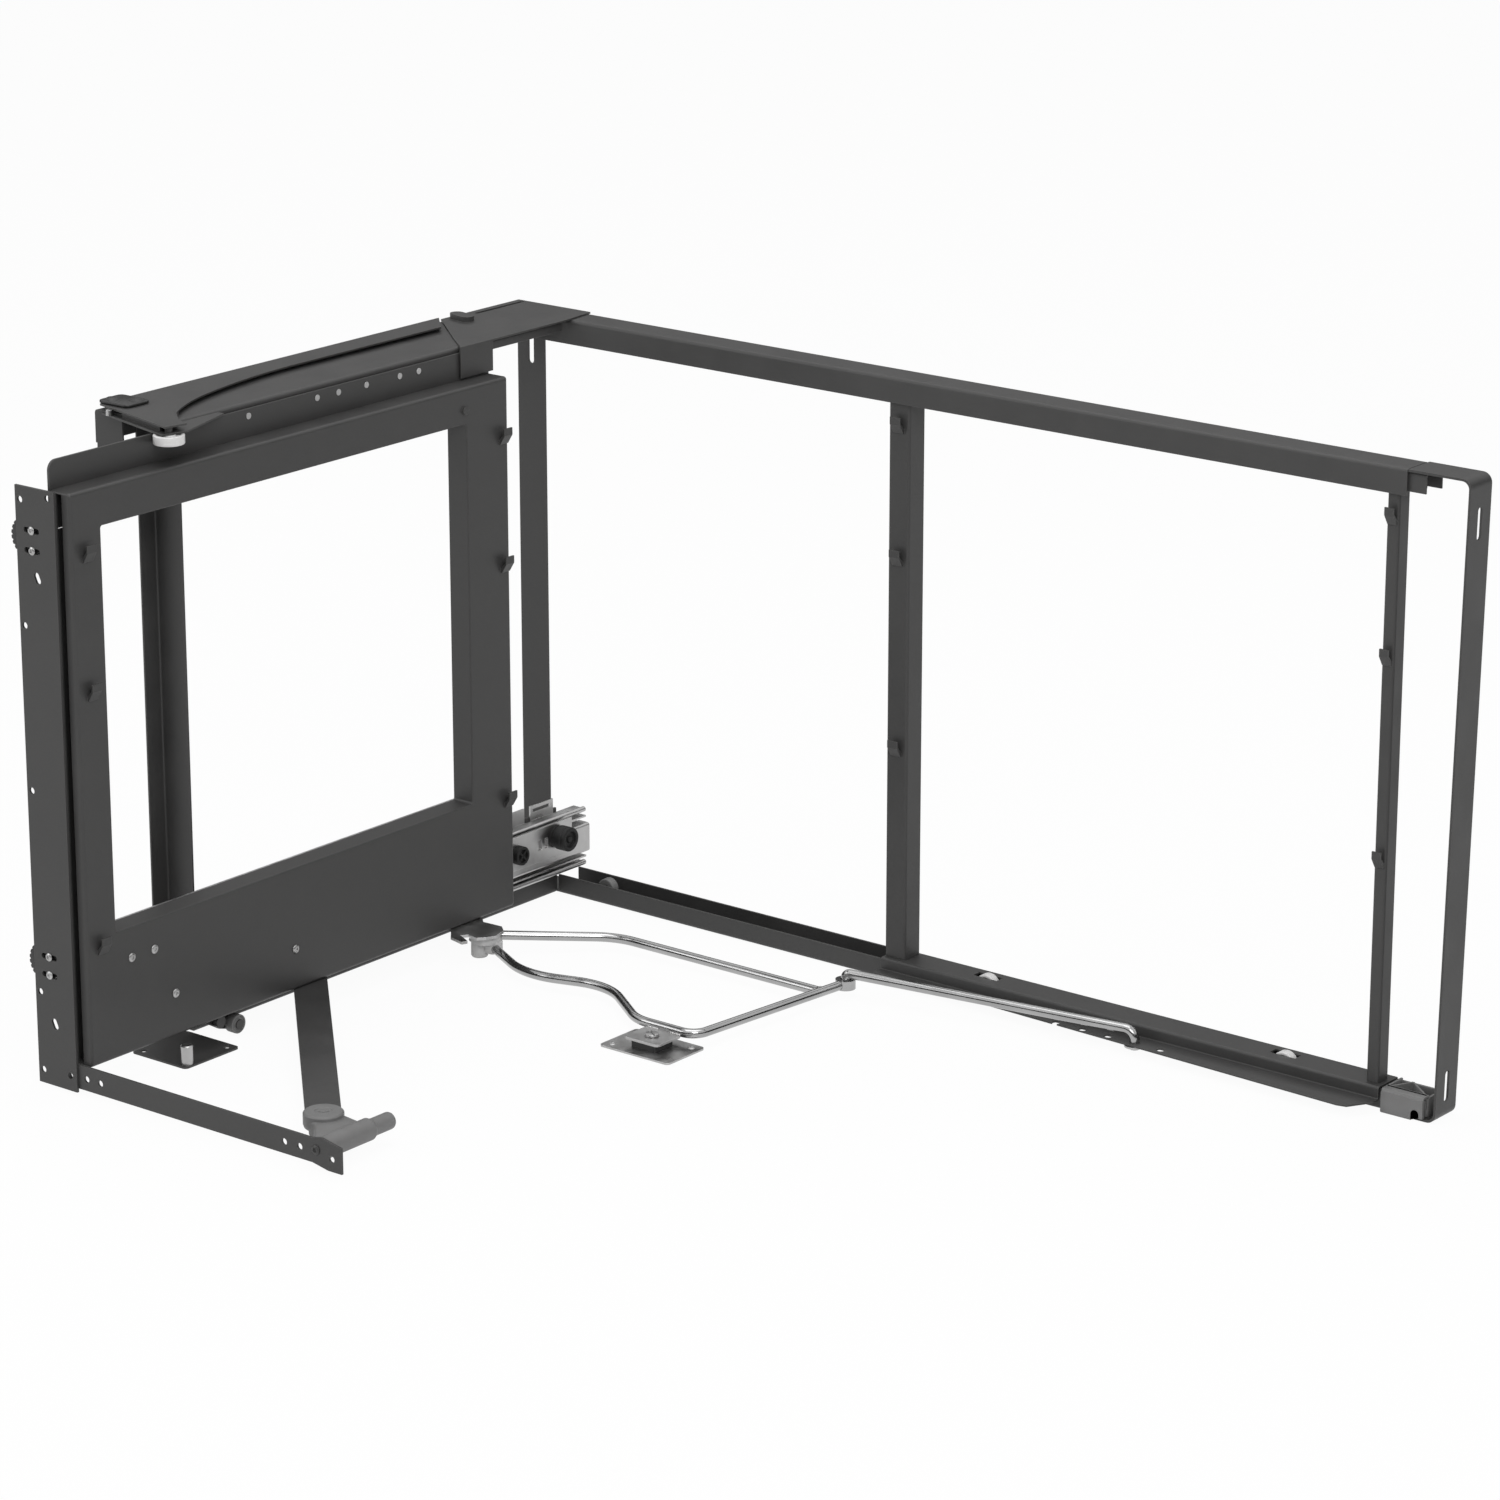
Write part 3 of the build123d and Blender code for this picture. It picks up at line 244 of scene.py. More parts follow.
def chrome_plate(name, level):
    """A mirror with a faint haze that changes its tone and its sharpness."""
    finish = Finish(name, grey(level), 0.18, metallic=1.0)
    haze = finish.spread(finish.noise(CHROME_HAZE, 3.0), 0.35, 0.75)
    finish.join(finish.blend(haze, grey(level - 8), grey(level + 8)), finish.shader.inputs["Base Color"])
    finish.join(finish.spread(haze, 0.0, 1.0, 0.14, 0.24), finish.shader.inputs["Roughness"])
    finish.bump(finish.noise(CHROME_WAVE, 2.0), 0.05, WAVE_DEPTH)
    return finish.material


zinc = zinc_plate("dull zinc plate", ZINC_LEVEL)
chrome = chrome_plate("bright chrome plate", CHROME_LEVEL)
print("made", zinc.name, "and", chrome.name)

# %% [markdown]
# ## Plastics and rubber
# The connector and the end stop are satin grey plastic and the hub is a paler one, the cap and
# the adjuster wheels are black, the rollers are off-white and slightly glossy, and the two
# buffers are matt rubber. One function serves them all: a fine spark-eroded grain from the
# mould, a slow change of tone, and edges painted paler, a painted highlight along the rims
# where handling also polishes them a little.

# %% Moulded plastics and rubber
MOULD_CLOUD, MOULD_HIGHLIGHT_EDGE = 0.012, 0.0007
MOULD_ROUND, GRAIN_DEPTH = 0.0005, 0.00005


def moulded(name, level, roughness, grain=0.0006, edge_highlight_gain=18, specular=0.5):
    """A plastic or a rubber of one grey level. The grain is in metres."""
    finish = Finish(name, grey(level), roughness)
    tone = finish.spread(finish.noise(MOULD_CLOUD, 3.0), 0.3, 0.7)
    colour = finish.blend(tone, grey(level - 3, 0.01), grey(min(level + 4, 250)))
    # Paler edges: a painted highlight along the rims, with a little polish from handling.
    colour = finish.blend(finish.edge_mask(MOULD_HIGHLIGHT_EDGE), colour, grey(min(level + edge_highlight_gain, 252)))
    finish.join(colour, finish.shader.inputs["Base Color"])
    gloss = finish.spread(tone, 0.0, 1.0, roughness - 0.05, roughness + 0.06)
    finish.join(gloss, finish.shader.inputs["Roughness"])
    finish.shader.inputs["Specular IOR Level"].default_value = specular
    finish.bump(finish.noise(grain, 2.0), 0.3, GRAIN_DEPTH, edge=MOULD_ROUND)
    return finish.material


grey_plastic = moulded("satin grey plastic", 112, 0.5)
light_plastic = moulded("satin light grey plastic", 192, 0.42)
black_plastic = moulded("satin black plastic", 30, 0.42)
rubber = moulded("matt black rubber", 20, 0.55, grain=0.001, edge_highlight_gain=12, specular=0.35)
pale_plastic = moulded("off-white plastic", 216, 0.3, edge_highlight_gain=8)
print("made five moulded finishes")

# %% [markdown]
# ## Which piece gets which finish
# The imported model's record already says which finish each solid has, so the finishes are
# handed out by its slot names. That keeps this scene right if a piece is renamed or added.

# %% Hand out the finishes
finish_of_slot = {
    "dark_steel": coat,
    "zinc": zinc,
    "chrome": chrome,
    "grey_plastic": grey_plastic,
    "black_plastic": black_plastic,
    "black_rubber": rubber,
    "pale_plastic": pale_plastic,
}


def dress(piece, material):
    """Gives a piece one finish on all its faces."""
    piece.data.materials.clear()
    piece.data.materials.append(material)


for part in frame["record"]["subparts"]:
    dress(nodes[part["node"]], finish_of_slot[part["material_slot"]])

# %% [markdown]
# ## Two ways to make a small piece
# Most small pieces are either turned or cast. A turned piece is a closed line of radius and
# height spun round an axis, as on a lathe: rollers, buffers, rivets. A cast piece is an outline
# run from one height to another with its rim rounded: the hub's collar, the cap. Both are
# built at the origin in millimetres and then stood in their place. Corners are rounded by real
# arcs in the line, because the light on such an arc is what makes a moulding look moulded.

# %% Lines with rounded corners


def soften(corners, steps=5):
    """Rounds the corners of a closed line. Each corner is (u, v) or (u, v, radius)."""
    line = []
    for index, corner in enumerate(corners):
        here = Vector(corner[:2])
        radius = corner[2] if len(corner) > 2 else 0
        if not radius:
            line.append(tuple(here))
            continue
        back = Vector(corners[index - 1][:2]) - here
        ahead = Vector(corners[(index + 1) % len(corners)][:2]) - here
        half = back.angle(ahead) / 2
        reach = min(radius / math.tan(half), 0.49 * back.length, 0.49 * ahead.length)
        radius = reach * math.tan(half)
        back.normalize()
        ahead.normalize()
        centre = here + (back + ahead).normalized() * radius / math.sin(half)
        first = here + back * reach - centre
        last = here + ahead * reach - centre
        turn = first.angle_signed(last)
        for step in range(steps + 1):
            arm = first.copy()
            arm.rotate(Matrix.Rotation(-turn * step / steps, 2))
            line.append(tuple(centre + arm))
    return line


print("a softened square has", len(soften([(0, 0, 1), (9, 0, 1), (9, 9, 1), (0, 9, 1)])), "points")

# %% Turned and cast shapes


def turned(profile, steps=64):
    """Spins a line of (radius, height) round Z. A line off the axis is closed, with a bore."""
    shape = bmesh.new()
    rings = []
    for radius, height in profile:
        around = steps if radius > 0 else 1
        rings.append([
            shape.verts.new((
                radius * MM * math.cos(math.tau * k / steps),
                radius * MM * math.sin(math.tau * k / steps),
                height * MM,
            ))
            for k in range(around)
        ])
    pairs = list(zip(rings, rings[1:]))
    if profile[0][0] > 0:
        pairs.append((rings[-1], rings[0]))
    for lower, upper in pairs:
        for k in range(steps):
            corners = []
            for ring, at in ((lower, k), (lower, k + 1), (upper, k + 1), (upper, k)):
                corner = ring[at % len(ring)]
                if corner not in corners:
                    corners.append(corner)
            if len(corners) > 2:
                shape.faces.new(corners)
    bmesh.ops.recalc_face_normals(shape, faces=shape.faces)
    return shape


def cast(outline, low, high, rim=0.6):
    """Runs an outline from one height to another and rounds the rims at both ends."""
    shape = bmesh.new()
    face = shape.faces.new([shape.verts.new((u * MM, v * MM, low * MM)) for u, v in outline])
    run = bmesh.ops.extrude_face_region(shape, geom=[face])
    lifted = [item for item in run["geom"] if isinstance(item, bmesh.types.BMVert)]
    bmesh.ops.translate(shape, vec=(0, 0, (high - low) * MM), verts=lifted)
    if rim:
        rims = [edge for edge in shape.edges if abs(edge.verts[0].co.z - edge.verts[1].co.z) < 1e-7]
        bmesh.ops.bevel(
            shape, geom=rims, offset=rim * MM, offset_type="OFFSET", segments=3, profile=0.5,
            affect="EDGES", clamp_overlap=True,
        )
    bmesh.ops.recalc_face_normals(shape, faces=shape.faces)
    return shape


# %% Standing shapes in place and making pieces


def stand(shape, place, along=(0, 0, 1), turn=0.0, finish=0):
    """Points a shape's Z axis along a direction, moves it, in millimetres, and picks its finish."""
    aim = Vector((0, 0, 1)).rotation_difference(Vector(along)).to_matrix().to_4x4()
    shape.transform(Matrix.Translation(Vector(place) * MM) @ aim @ Matrix.Rotation(turn, 4, "Z"))
    for face in shape.faces:
        face.material_index = finish
    return shape


def make_piece(name, body, slot, shapes, stands_for=(), finishes=()):
    """Makes one object of several shapes, gives it its finishes and lets it ride on its body."""
    whole = bmesh.new()
    for shape in shapes:
        scratch = bpy.data.meshes.new("scratch")
        shape.to_mesh(scratch)
        shape.free()
        whole.from_mesh(scratch)
        bpy.data.meshes.remove(scratch)
    mesh = bpy.data.meshes.new(name)
    whole.to_mesh(mesh)
    whole.free()
    shade(mesh)
    piece = bpy.data.objects.new(name, mesh)
    bpy.context.scene.collection.objects.link(piece)
    for material in finishes or (finish_of_slot[slot],):
        mesh.materials.append(material)
    if stands_for:
        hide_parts(*stands_for)
    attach(piece, body)
    print(name, "rides on", body, "with", len(mesh.polygons), "faces")


def middle_and_size(node):
    """The middle and the size of a solid's box, in millimetres."""
    low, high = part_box(node)
    return (low + high) / 2 / MM, (high - low) / MM


# %% [markdown]
# ## Rollers and wheels
# Five rollers run in the rails and one under the front frame. A moulded roller isn't a plain
# cylinder: its tread is slightly rounded at both rims, and both sides are hollowed so that the
# wall has the same thickness everywhere. One profile, scaled to each roller's own box, makes
# all six, and each rides on the body of its own joint, so that it turns with it.

# %% Rollers
AXLE_BORE, WHEEL_BORE = 3.06, 2.06
WEB_FROM, WEB_TO = 0.24, 0.72


def roller_profile(radius, width, bore):
    """The closed section of a roller: rounded tread, hollowed sides and a bore."""
    hollow = min(1.0, width * 0.12)
    inner, outer = bore + WEB_FROM * (radius - bore), bore + WEB_TO * (radius - bore)
    return soften([
        (bore, 0), (inner, 0, 0.4), (inner + 0.3, hollow, 0.3), (outer - 0.3, hollow, 0.3),
        (outer, 0, 0.4), (radius, 0, 0.9), (radius, width, 0.9), (outer, width, 0.4),
        (outer - 0.3, width - hollow, 0.3), (inner + 0.3, width - hollow, 0.3),
        (inner, width, 0.4), (bore, width),
    ], steps=4)


def make_roller(node, axis, bore, slot):
    """Replaces one plain roller by a moulded one of the same radius, width and place."""
    middle, size = middle_and_size(node)
    width = size["xyz".index(axis)]
    radius = max(size) / 2 if axis != "x" else size.y / 2
    along = Vector([letter == axis for letter in "xyz"])
    start = middle - along * width / 2
    shape = stand(turned(roller_profile(radius, width, bore), 96), start, along)
    make_piece(node + "_moulded", node, slot, [shape], stands_for=[node])


make_roller("rear_wheel_left", "y", WHEEL_BORE, "pale_plastic")
make_roller("rear_wheel_right", "y", WHEEL_BORE, "pale_plastic")
make_roller("top_roller_left", "z", AXLE_BORE, "pale_plastic")
make_roller("top_roller_right", "z", AXLE_BORE, "pale_plastic")
make_roller("guide_roller", "z", AXLE_BORE, "pale_plastic")
make_roller("guide_wheel", "x", AXLE_BORE, "grey_plastic")

# %% [markdown]
# ## Rubber buffers
# Two rubber buffers are plugged into the carrier plate beside the runner and stop the front
# frame softly. The large one has a collar behind a groove and a ring pressed into its end; the
# small one is flat with a cross in its end. The groove and the collar are in the turned line,
# and the cross is two thin cast ribs in a round hollow.

# %% Buffers on the carrier plate
BIG_BUFFER = (82.0, -51.8, 62.0)
SMALL_BUFFER = (82.0, -105.0, 59.0)


def big_buffer():
    """The collared buffer, from its foot on the plate to the ring in its end."""
    profile = soften([
        (0, 0), (9.6, 0), (9.6, 2.2, 0.4), (10.7, 3.2, 0.8), (10.7, 10.2, 0.6), (10.0, 10.9, 0.3),
        (10.0, 11.6, 0.3), (10.7, 12.3, 0.5), (10.7, 15.0, 1.2), (7.2, 15.0, 0.5), (6.7, 12.6, 0.4),
        (3.0, 12.6, 0.4), (2.6, 14.4, 0.5), (0, 14.4),
    ])
    return stand(turned(profile), BIG_BUFFER, (1, 0, 0))


def small_buffer():
    """The flat buffer: a shell with a round hollow and two crossed ribs in it."""
    shell = soften([(0, 0), (8.4, 0), (8.4, 7.0, 1.0), (6.0, 7.0, 0.5), (5.6, 4.6, 0.3), (0, 4.6)])
    shapes = [stand(turned(shell), SMALL_BUFFER, (1, 0, 0))]
    rib = soften([(-5.6, -0.8, 0.3), (5.6, -0.8, 0.3), (5.6, 0.8, 0.3), (-5.6, 0.8, 0.3)])
    for quarter in (math.radians(45), math.radians(135)):
        shapes.append(stand(cast(rib, 4.4, 6.6, 0.3), SMALL_BUFFER, (1, 0, 0), quarter))
    return shapes


make_piece(
    "carrier_buffers_moulded", "front_frame", "black_rubber", [big_buffer(), *small_buffer()],
    stands_for=["carrier_buffers"],
)

# %% [markdown]
# ## Rivets and screws
# The front frame is held together by blind rivets: a domed flange with a dark hole where the
# pin broke off. The door strip's adjusting screws have a similar round head with a socket. The
# light ring with the dark centre is all that the eye sees of them, so the hole is real depth,
# not paint. One coated screw sits near the end of the door bar.

# %% Rivets and screws
TRAY_FACE, STRIP_FACE, BAR_FACE = 103.0, -643.0, -641.0
TRAY_RIVETS = ((-589.0, 104.0), (-564.0, 104.0), (-404.0, 60.0), (-542.0, 61.0))
STRIP_SCREW_X, STRIP_SCREW_HEIGHTS = 66.5, (96.0, 111.0, 439.0, 455.0)
BAR_SCREW_X, BAR_SCREW_HEIGHT = 346.0, 18.0


def head(radius, height, hole, depth):
    """A domed head with a round hole in its middle."""
    return turned(soften([
        (0, height - depth), (hole, height - depth, 0.1), (hole + 0.15, height - 0.1, 0.2),
        (0.62 * radius, height, 0.8), (radius, 0.45 * height, 0.5), (radius, 0.0), (0, 0.0),
    ]), 40)


fastener_shapes = [
    stand(head(3.7, 1.4, 1.35, 1.1), (TRAY_FACE, y, height), (1, 0, 0)) for y, height in TRAY_RIVETS
]
fastener_shapes += [
    stand(head(3.4, 1.5, 1.3, 1.1), (STRIP_SCREW_X, STRIP_FACE, height), (0, -1, 0))
    for height in STRIP_SCREW_HEIGHTS
]
bar_screw = head(4.0, 1.6, 1.7, 1.3)
fastener_shapes.append(stand(bar_screw, (BAR_SCREW_X, BAR_FACE, BAR_SCREW_HEIGHT), (0, -1, 0), finish=1))
make_piece(
    "front_frame_rivets", "front_frame", "zinc", fastener_shapes,
    stands_for=["front_frame_screws"], finishes=[zinc, coat],
)

# %% [markdown]
# ## Adjuster wheels
# Behind the door strip, one at the top and one at the bottom, a black wheel peeps out at the
# left, where a finger can turn it. Its rim is fluted for grip. The outline is drawn
# as a circle whose radius dips at every flute, then cast with a round rim, and a turned collar
# covers the middle.

# %% Adjuster wheels
FLUTES, FLUTE_DEPTH = 22, 1.3
WHEEL_RADIUS, COLLAR_RADIUS = 16.0, 7.5
RIM_INSET = 0.4


def fluted(radius, depth, flutes, steps=12):
    """The outline of a fluted wheel: round lands with a hollow between each two."""
    line = []
    for k in range(flutes * steps):
        angle = math.tau * k / (flutes * steps)
        dip = max(0.0, math.cos(angle * flutes)) ** 1.5
        reach = radius - depth * dip
        line.append((reach * math.cos(angle), reach * math.sin(angle)))
    return line


for level in ("lower", "upper"):
    node = level + "_adjuster_wheel"
    middle, size = middle_and_size(node)
    back = middle + Vector((0, size.y / 2, 0))
    rim_outline = fluted(WHEEL_RADIUS, FLUTE_DEPTH, FLUTES)
    rim = stand(cast(rim_outline, RIM_INSET, size.y - RIM_INSET, 0.8), back, (0, -1, 0))
    collar_profile = soften([
        (AXLE_BORE, 0), (COLLAR_RADIUS, 0, 0.4), (COLLAR_RADIUS, size.y, 0.4), (AXLE_BORE, size.y),
    ])
    collar = stand(turned(collar_profile), back, (0, -1, 0))
    make_piece(node + "_fluted", node, "black_plastic", [rim, collar], stands_for=[node])

# %% [markdown]
# ## The lever's hub
# The lever's far end carries a light grey moulding under the front frame: a collar, a round
# boss that almost reaches the floor, and a socket that holds both rods. It is built from three
# shapes that sink into each other. The boss is turned with a soft foot, and the collar and the
# socket are cast, because their outlines are rounded rather than round.

# %% Hub
HUB = Vector((126.0, -198.0, 0.0))
BOSS = HUB + Vector((-4.5, -2.0, 0.0))
collar_outline = soften([
    (-13.0, 4.0, 6.0), (-7.0, 12.6, 5.0), (5.0, 12.4, 4.0), (11.5, 7.0, 4.0), (13.0, -4.0, 5.0),
    (8.0, -11.5, 4.0), (-4.0, -12.6, 6.0), (-12.4, -6.0, 6.0),
])
socket_outline = soften([
    (-3.0, 11.0, 5.0), (8.0, 13.0, 5.0), (13.6, 7.0, 5.0), (13.0, -4.0, 5.0), (2.0, -4.5, 4.0),
    (-4.0, 2.0, 4.0),
])
boss_profile = soften([
    (0, 2.0), (6.4, 2.0, 0.8), (7.3, 3.6, 1.0), (7.3, 15.5, 1.0), (9.0, 16.5, 1.0), (9.0, 17.0),
    (0, 17.0),
])
hub_shapes = [
    stand(cast(collar_outline, 15.5, 21.5, 0.9), HUB),
    stand(cast(socket_outline, 6.4, 16.5, 1.4), HUB),
    stand(turned(boss_profile), BOSS),
]
make_piece(
    "lever_hub_moulded", "lever", "grey_plastic", hub_shapes,
    stands_for=["lever_hub"], finishes=[light_plastic],
)

# %% [markdown]
# ## Weld beads
# The brace rod is welded to the lever's right leg, and the pivot plate to the main rod. A weld
# is a row of small overlapping drops that froze one after another. Each drop here is a small
# ball, pressed a little flat, and the row follows the joint.

# %% Weld beads
ROD_MIDDLE = 11.0
PLATE_TOP, PLATE_WELD_Y = 10.2, -260.6


def weld(start, end, radius, drops, flat=0.8):
    """A row of overlapping drops from one point to another, in millimetres."""
    shapes = []
    for k in range(drops):
        place = Vector(start).lerp(Vector(end), k / (drops - 1))
        drop = bmesh.new()
        size = radius * MM * (1 + 0.12 * math.sin(2.4 * k))
        bmesh.ops.create_icosphere(drop, subdivisions=3, radius=size)
        drop.transform(Matrix.Diagonal((1.0, 1.0, flat, 1.0)))
        shapes.append(stand(drop, place))
    return shapes


weld_shapes = weld((412.4, -115.2, ROD_MIDDLE + 1.5), (413.0, -106.8, ROD_MIDDLE + 1.5), 1.9, 5)
weld_shapes += weld((412.0, -115.0, ROD_MIDDLE - 2.0), (412.8, -107.0, ROD_MIDDLE - 2.0), 1.7, 4)
for left in (357.0, 380.0):
    weld_shapes += weld((left, PLATE_WELD_Y, PLATE_TOP), (left + 9.0, PLATE_WELD_Y, PLATE_TOP), 1.2, 6, 0.7)
make_piece("lever_welds", "lever", "zinc", weld_shapes)

# %% [markdown]
# ## The pivot pin
# The lever turns on a pin in a black block. The pin's head is a low disc with a driver slot,
# over a round washer. A slot can't be cut with these helpers, so the head's top layer is made
# of the two halves that are left beside it.

# %% Pivot pin
PIVOT = Vector((373.0, -276.0, 0.0))
WASHER_LOW, WASHER_TOP, WASHER_RADIUS = 10.6, 11.7, 6.0
SHANK_RADIUS, HEAD_RADIUS, SLOT_HALF = 3.0, 5.9, 0.7
SLOT_TURN = math.radians(-30)
pin_low, pin_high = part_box("lever_pivot_pin")
PIN_FOOT, PIN_TOP = pin_low.z / MM, pin_high.z / MM


def half_disc(radius, gap, side):
    """The outline of a disc's part on one side of a slot."""
    limit = math.asin(gap / radius)
    line = []
    for k in range(25):
        angle = limit + (math.pi - 2 * limit) * k / 24
        line.append((radius * math.cos(angle), side * radius * math.sin(angle)))
    return line if side > 0 else line[::-1]


pin_profile = soften([
    (0, PIN_FOOT), (SHANK_RADIUS, PIN_FOOT), (SHANK_RADIUS, WASHER_LOW), (WASHER_RADIUS, WASHER_LOW),
    (WASHER_RADIUS, WASHER_TOP, 0.2), (0, WASHER_TOP),
])
pin_shapes = [stand(turned(pin_profile), PIVOT)]
for side in (1, -1):
    half_head = cast(half_disc(HEAD_RADIUS, SLOT_HALF, side), WASHER_TOP - 0.2, PIN_TOP, 0.3)
    pin_shapes.append(stand(half_head, PIVOT, turn=SLOT_TURN))
make_piece("lever_pivot_pin_slotted", "fixed_frame", "zinc", pin_shapes, stands_for=["lever_pivot_pin"])

# %% [markdown]
# ## The brace connector
# The brace's far end sits in a grey moulding: a thick round cup, and from it a tapering arm to
# a peg that steps down towards a rounded end. The cup and the peg are turned and the arm is
# cast, all in one piece of the same plastic.

# %% Brace connector
CUP = Vector((312.0, -596.0, 0.0))
PEG = Vector((346.0, -639.0, 17.0))
PEG_LENGTH = 82.0
LOZENGE_TURN = math.radians(38)
cup_profile = soften([
    (0, 15.0), (15.0, 15.0, 1.2), (16.0, 18.0, 1.0), (16.0, 26.6, 1.2), (14.6, 28.0, 1.0),
    (7.0, 28.0, 0.6), (6.4, 27.2, 0.5), (0, 27.2),
])
lozenge = soften([(-6.0, 0.0, 1.4), (0.0, 2.6, 2.0), (6.0, 0.0, 1.4), (0.0, -2.6, 2.0)])
arm_outline = soften([
    (322.0, -584.5, 6.0), (346.0, -588.0, 5.0), (352.0, -598.0, 4.0), (351.0, -635.0, 3.0),
    (340.0, -637.0, 3.0), (318.0, -613.0, 8.0), (306.0, -610.5, 6.0),
])
peg_profile = soften([
    (0, 0), (9.0, 0, 0.8), (9.0, 56.0, 1.0), (7.6, 58.5, 1.0), (7.0, 62.0, 1.0),
    (7.0, PEG_LENGTH, 4.0), (0, PEG_LENGTH),
])
connector_shapes = [
    stand(turned(cup_profile, 80), CUP),
    stand(cast(lozenge, 27.0, 28.0, 0.4), CUP, turn=LOZENGE_TURN),
    stand(cast(arm_outline, 11.0, 24.0, 2.2), (0, 0, 0)),
    stand(turned(peg_profile), PEG, (0, 1, 0)),
]
make_piece(
    "brace_connector_moulded", "front_frame", "grey_plastic", connector_shapes,
    stands_for=["brace_connector"],
)

# %% [markdown]
# ## The end stop
# At the right end of the track a grey plastic stop is clipped over the front wall. Its own front
# wall stands before the track, with an arch at its right foot, and behind it is an open box with
# two thin ribs that meet in a V. The front wall is cast from its front view, so that the arch is
# part of the outline, and the ribs are short cast bars.

# %% End stop
STOP_LEFT, STOP_RIGHT, STOP_TOP = 907.0, 945.0, 20.0
ARCH_LEFT, ARCH_SPRING = 935.0, 5.4
LEG_WIDTH, LEG_FOOT = 3.5, 2.5
WALL_FRONT, WALL_BACK, WALL_TOP = -33.0, -29.0, 18.0
BOX_FRONT, BOX_BACK, BOX_FOOT = -24.6, -3.2, 2.1
RIB_TOP = 19.4


def along_x(view, start, end, rim):
    """Casts a side view drawn in (Y, Z) from one X to another."""
    shape = cast(view, start, end, rim)
    for corner in shape.verts:
        corner.co = Vector((corner.co.z, corner.co.x, corner.co.y))
    bmesh.ops.recalc_face_normals(shape, faces=shape.faces)
    return shape


def bar(start, end, thick, low, high):
    """An upright rib between two points of the plan."""
    run = Vector(end) - Vector(start)
    half = thick / 2
    corners = [(0, -half, 0.3), (run.length, -half, 0.3), (run.length, half, 0.3), (0, half, 0.3)]
    return stand(cast(soften(corners, 2), low, high, 0.4), (*start, 0), turn=math.atan2(run.y, run.x))


def front_view():
    """The front wall seen from the front, in (X, Z), with the arch between foot and leg."""
    leg_left = STOP_RIGHT - LEG_WIDTH
    arch_middle, arch_half = (ARCH_LEFT + leg_left) / 2, (leg_left - ARCH_LEFT) / 2
    arch = [
        (arch_middle + arch_half * math.cos(angle), ARCH_SPRING + arch_half * math.sin(angle))
        for angle in (math.pi * step / 10 for step in range(11))
    ]
    return soften([
        (STOP_LEFT, 0.0, 1.0), (STOP_LEFT, WALL_TOP, 1.6), (STOP_RIGHT, WALL_TOP, 1.6),
        (STOP_RIGHT, LEG_FOOT, 0.8), (leg_left, LEG_FOOT, 0.4), *arch, (ARCH_LEFT, 0.0, 0.4),
    ])


def stop_front():
    """The front wall, cast from its front view and turned upright."""
    shape = cast(front_view(), 0.0, WALL_BACK - WALL_FRONT, 0.5)
    for corner in shape.verts:
        corner.co = Vector((corner.co.x, WALL_FRONT * MM + corner.co.z, corner.co.y))
    bmesh.ops.recalc_face_normals(shape, faces=shape.faces)
    return shape


bridge_view = soften([
    (-32.6, 16.5, 1.5), (-31.0, STOP_TOP, 2.0), (-22.5, STOP_TOP, 0.5), (-22.5, 18.1), (-30.0, 18.1),
])
floor_left, floor_right = STOP_LEFT + 0.6, STOP_RIGHT - 0.6
box_floor = [(floor_left, -25.0), (floor_right, -25.0), (floor_right, -2.5), (floor_left, -2.5)]
wall_left, wall_right = STOP_LEFT + 1.0, STOP_RIGHT - 1.0
rib_corner = (STOP_LEFT + 12.0, -4.0)
stop_shapes = [
    stop_front(),
    along_x(bridge_view, STOP_LEFT, STOP_RIGHT, 0.5),
    bar((wall_left, BOX_FRONT), (wall_right, BOX_FRONT), 2.6, BOX_FOOT, STOP_TOP),
    bar((wall_left, BOX_BACK), (wall_right, BOX_BACK), 2.0, BOX_FOOT, WALL_TOP),
    bar((wall_left, -24.0), (wall_left, -3.0), 2.0, 1.6, STOP_TOP),
    bar((wall_right, -24.0), (wall_right, -3.0), 2.0, BOX_FOOT, WALL_TOP),
    bar((STOP_LEFT + 2.0, -23.5), rib_corner, 1.6, BOX_FOOT, RIB_TOP),
    bar(rib_corner, (STOP_RIGHT - 3.0, -23.0), 1.6, BOX_FOOT, RIB_TOP),
    stand(cast(soften(box_floor), BOX_FOOT, 8.0, 0.3), (0, 0, 0)),
]
make_piece(
    "track_end_stop_moulded", "fixed_frame", "grey_plastic", stop_shapes,
    stands_for=["track_end_stop"],
)

# %% [markdown]
# ## The cap and the track buffer
# A black cap closes the front end of the curved arm over the side rail: a thin rounded plate
# with two low humps over the rivets. In the track's left end stands a round grey stop for the
# rear frame, on a small square foot. Both pieces take their outer sizes from the solids' boxes.

# %% Cap and track buffer
CAP_PLATE, CAP_SINK, CAP_ROUND, CAP_INSET = 2.6, 2.0, 5.0, 0.3
CAP_HUMPS = ((9.0, -497.0), (27.0, -487.0))
cap_low, cap_high = (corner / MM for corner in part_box("rail_front_cap"))
hump_height = cap_high.z - cap_low.z - CAP_SINK
cap_outline = soften([
    (cap_low.x + CAP_INSET, cap_low.y + CAP_INSET, CAP_ROUND),
    (cap_high.x, cap_low.y + CAP_INSET, CAP_ROUND),
    (cap_high.x, cap_high.y, CAP_ROUND),
    (cap_low.x + CAP_INSET, cap_high.y, CAP_ROUND),
])
hump_profile = soften([
    (0, 0), (6.4, 0), (6.0, 1.0, 1.0), (3.2, hump_height, 1.6), (0, hump_height),
])
cap_shapes = [stand(cast(cap_outline, cap_low.z, cap_low.z + CAP_PLATE, 1.0), (0, 0, 0))]
for x, y in CAP_HUMPS:
    cap_shapes.append(stand(turned(hump_profile), (x, y, cap_low.z + CAP_SINK)))
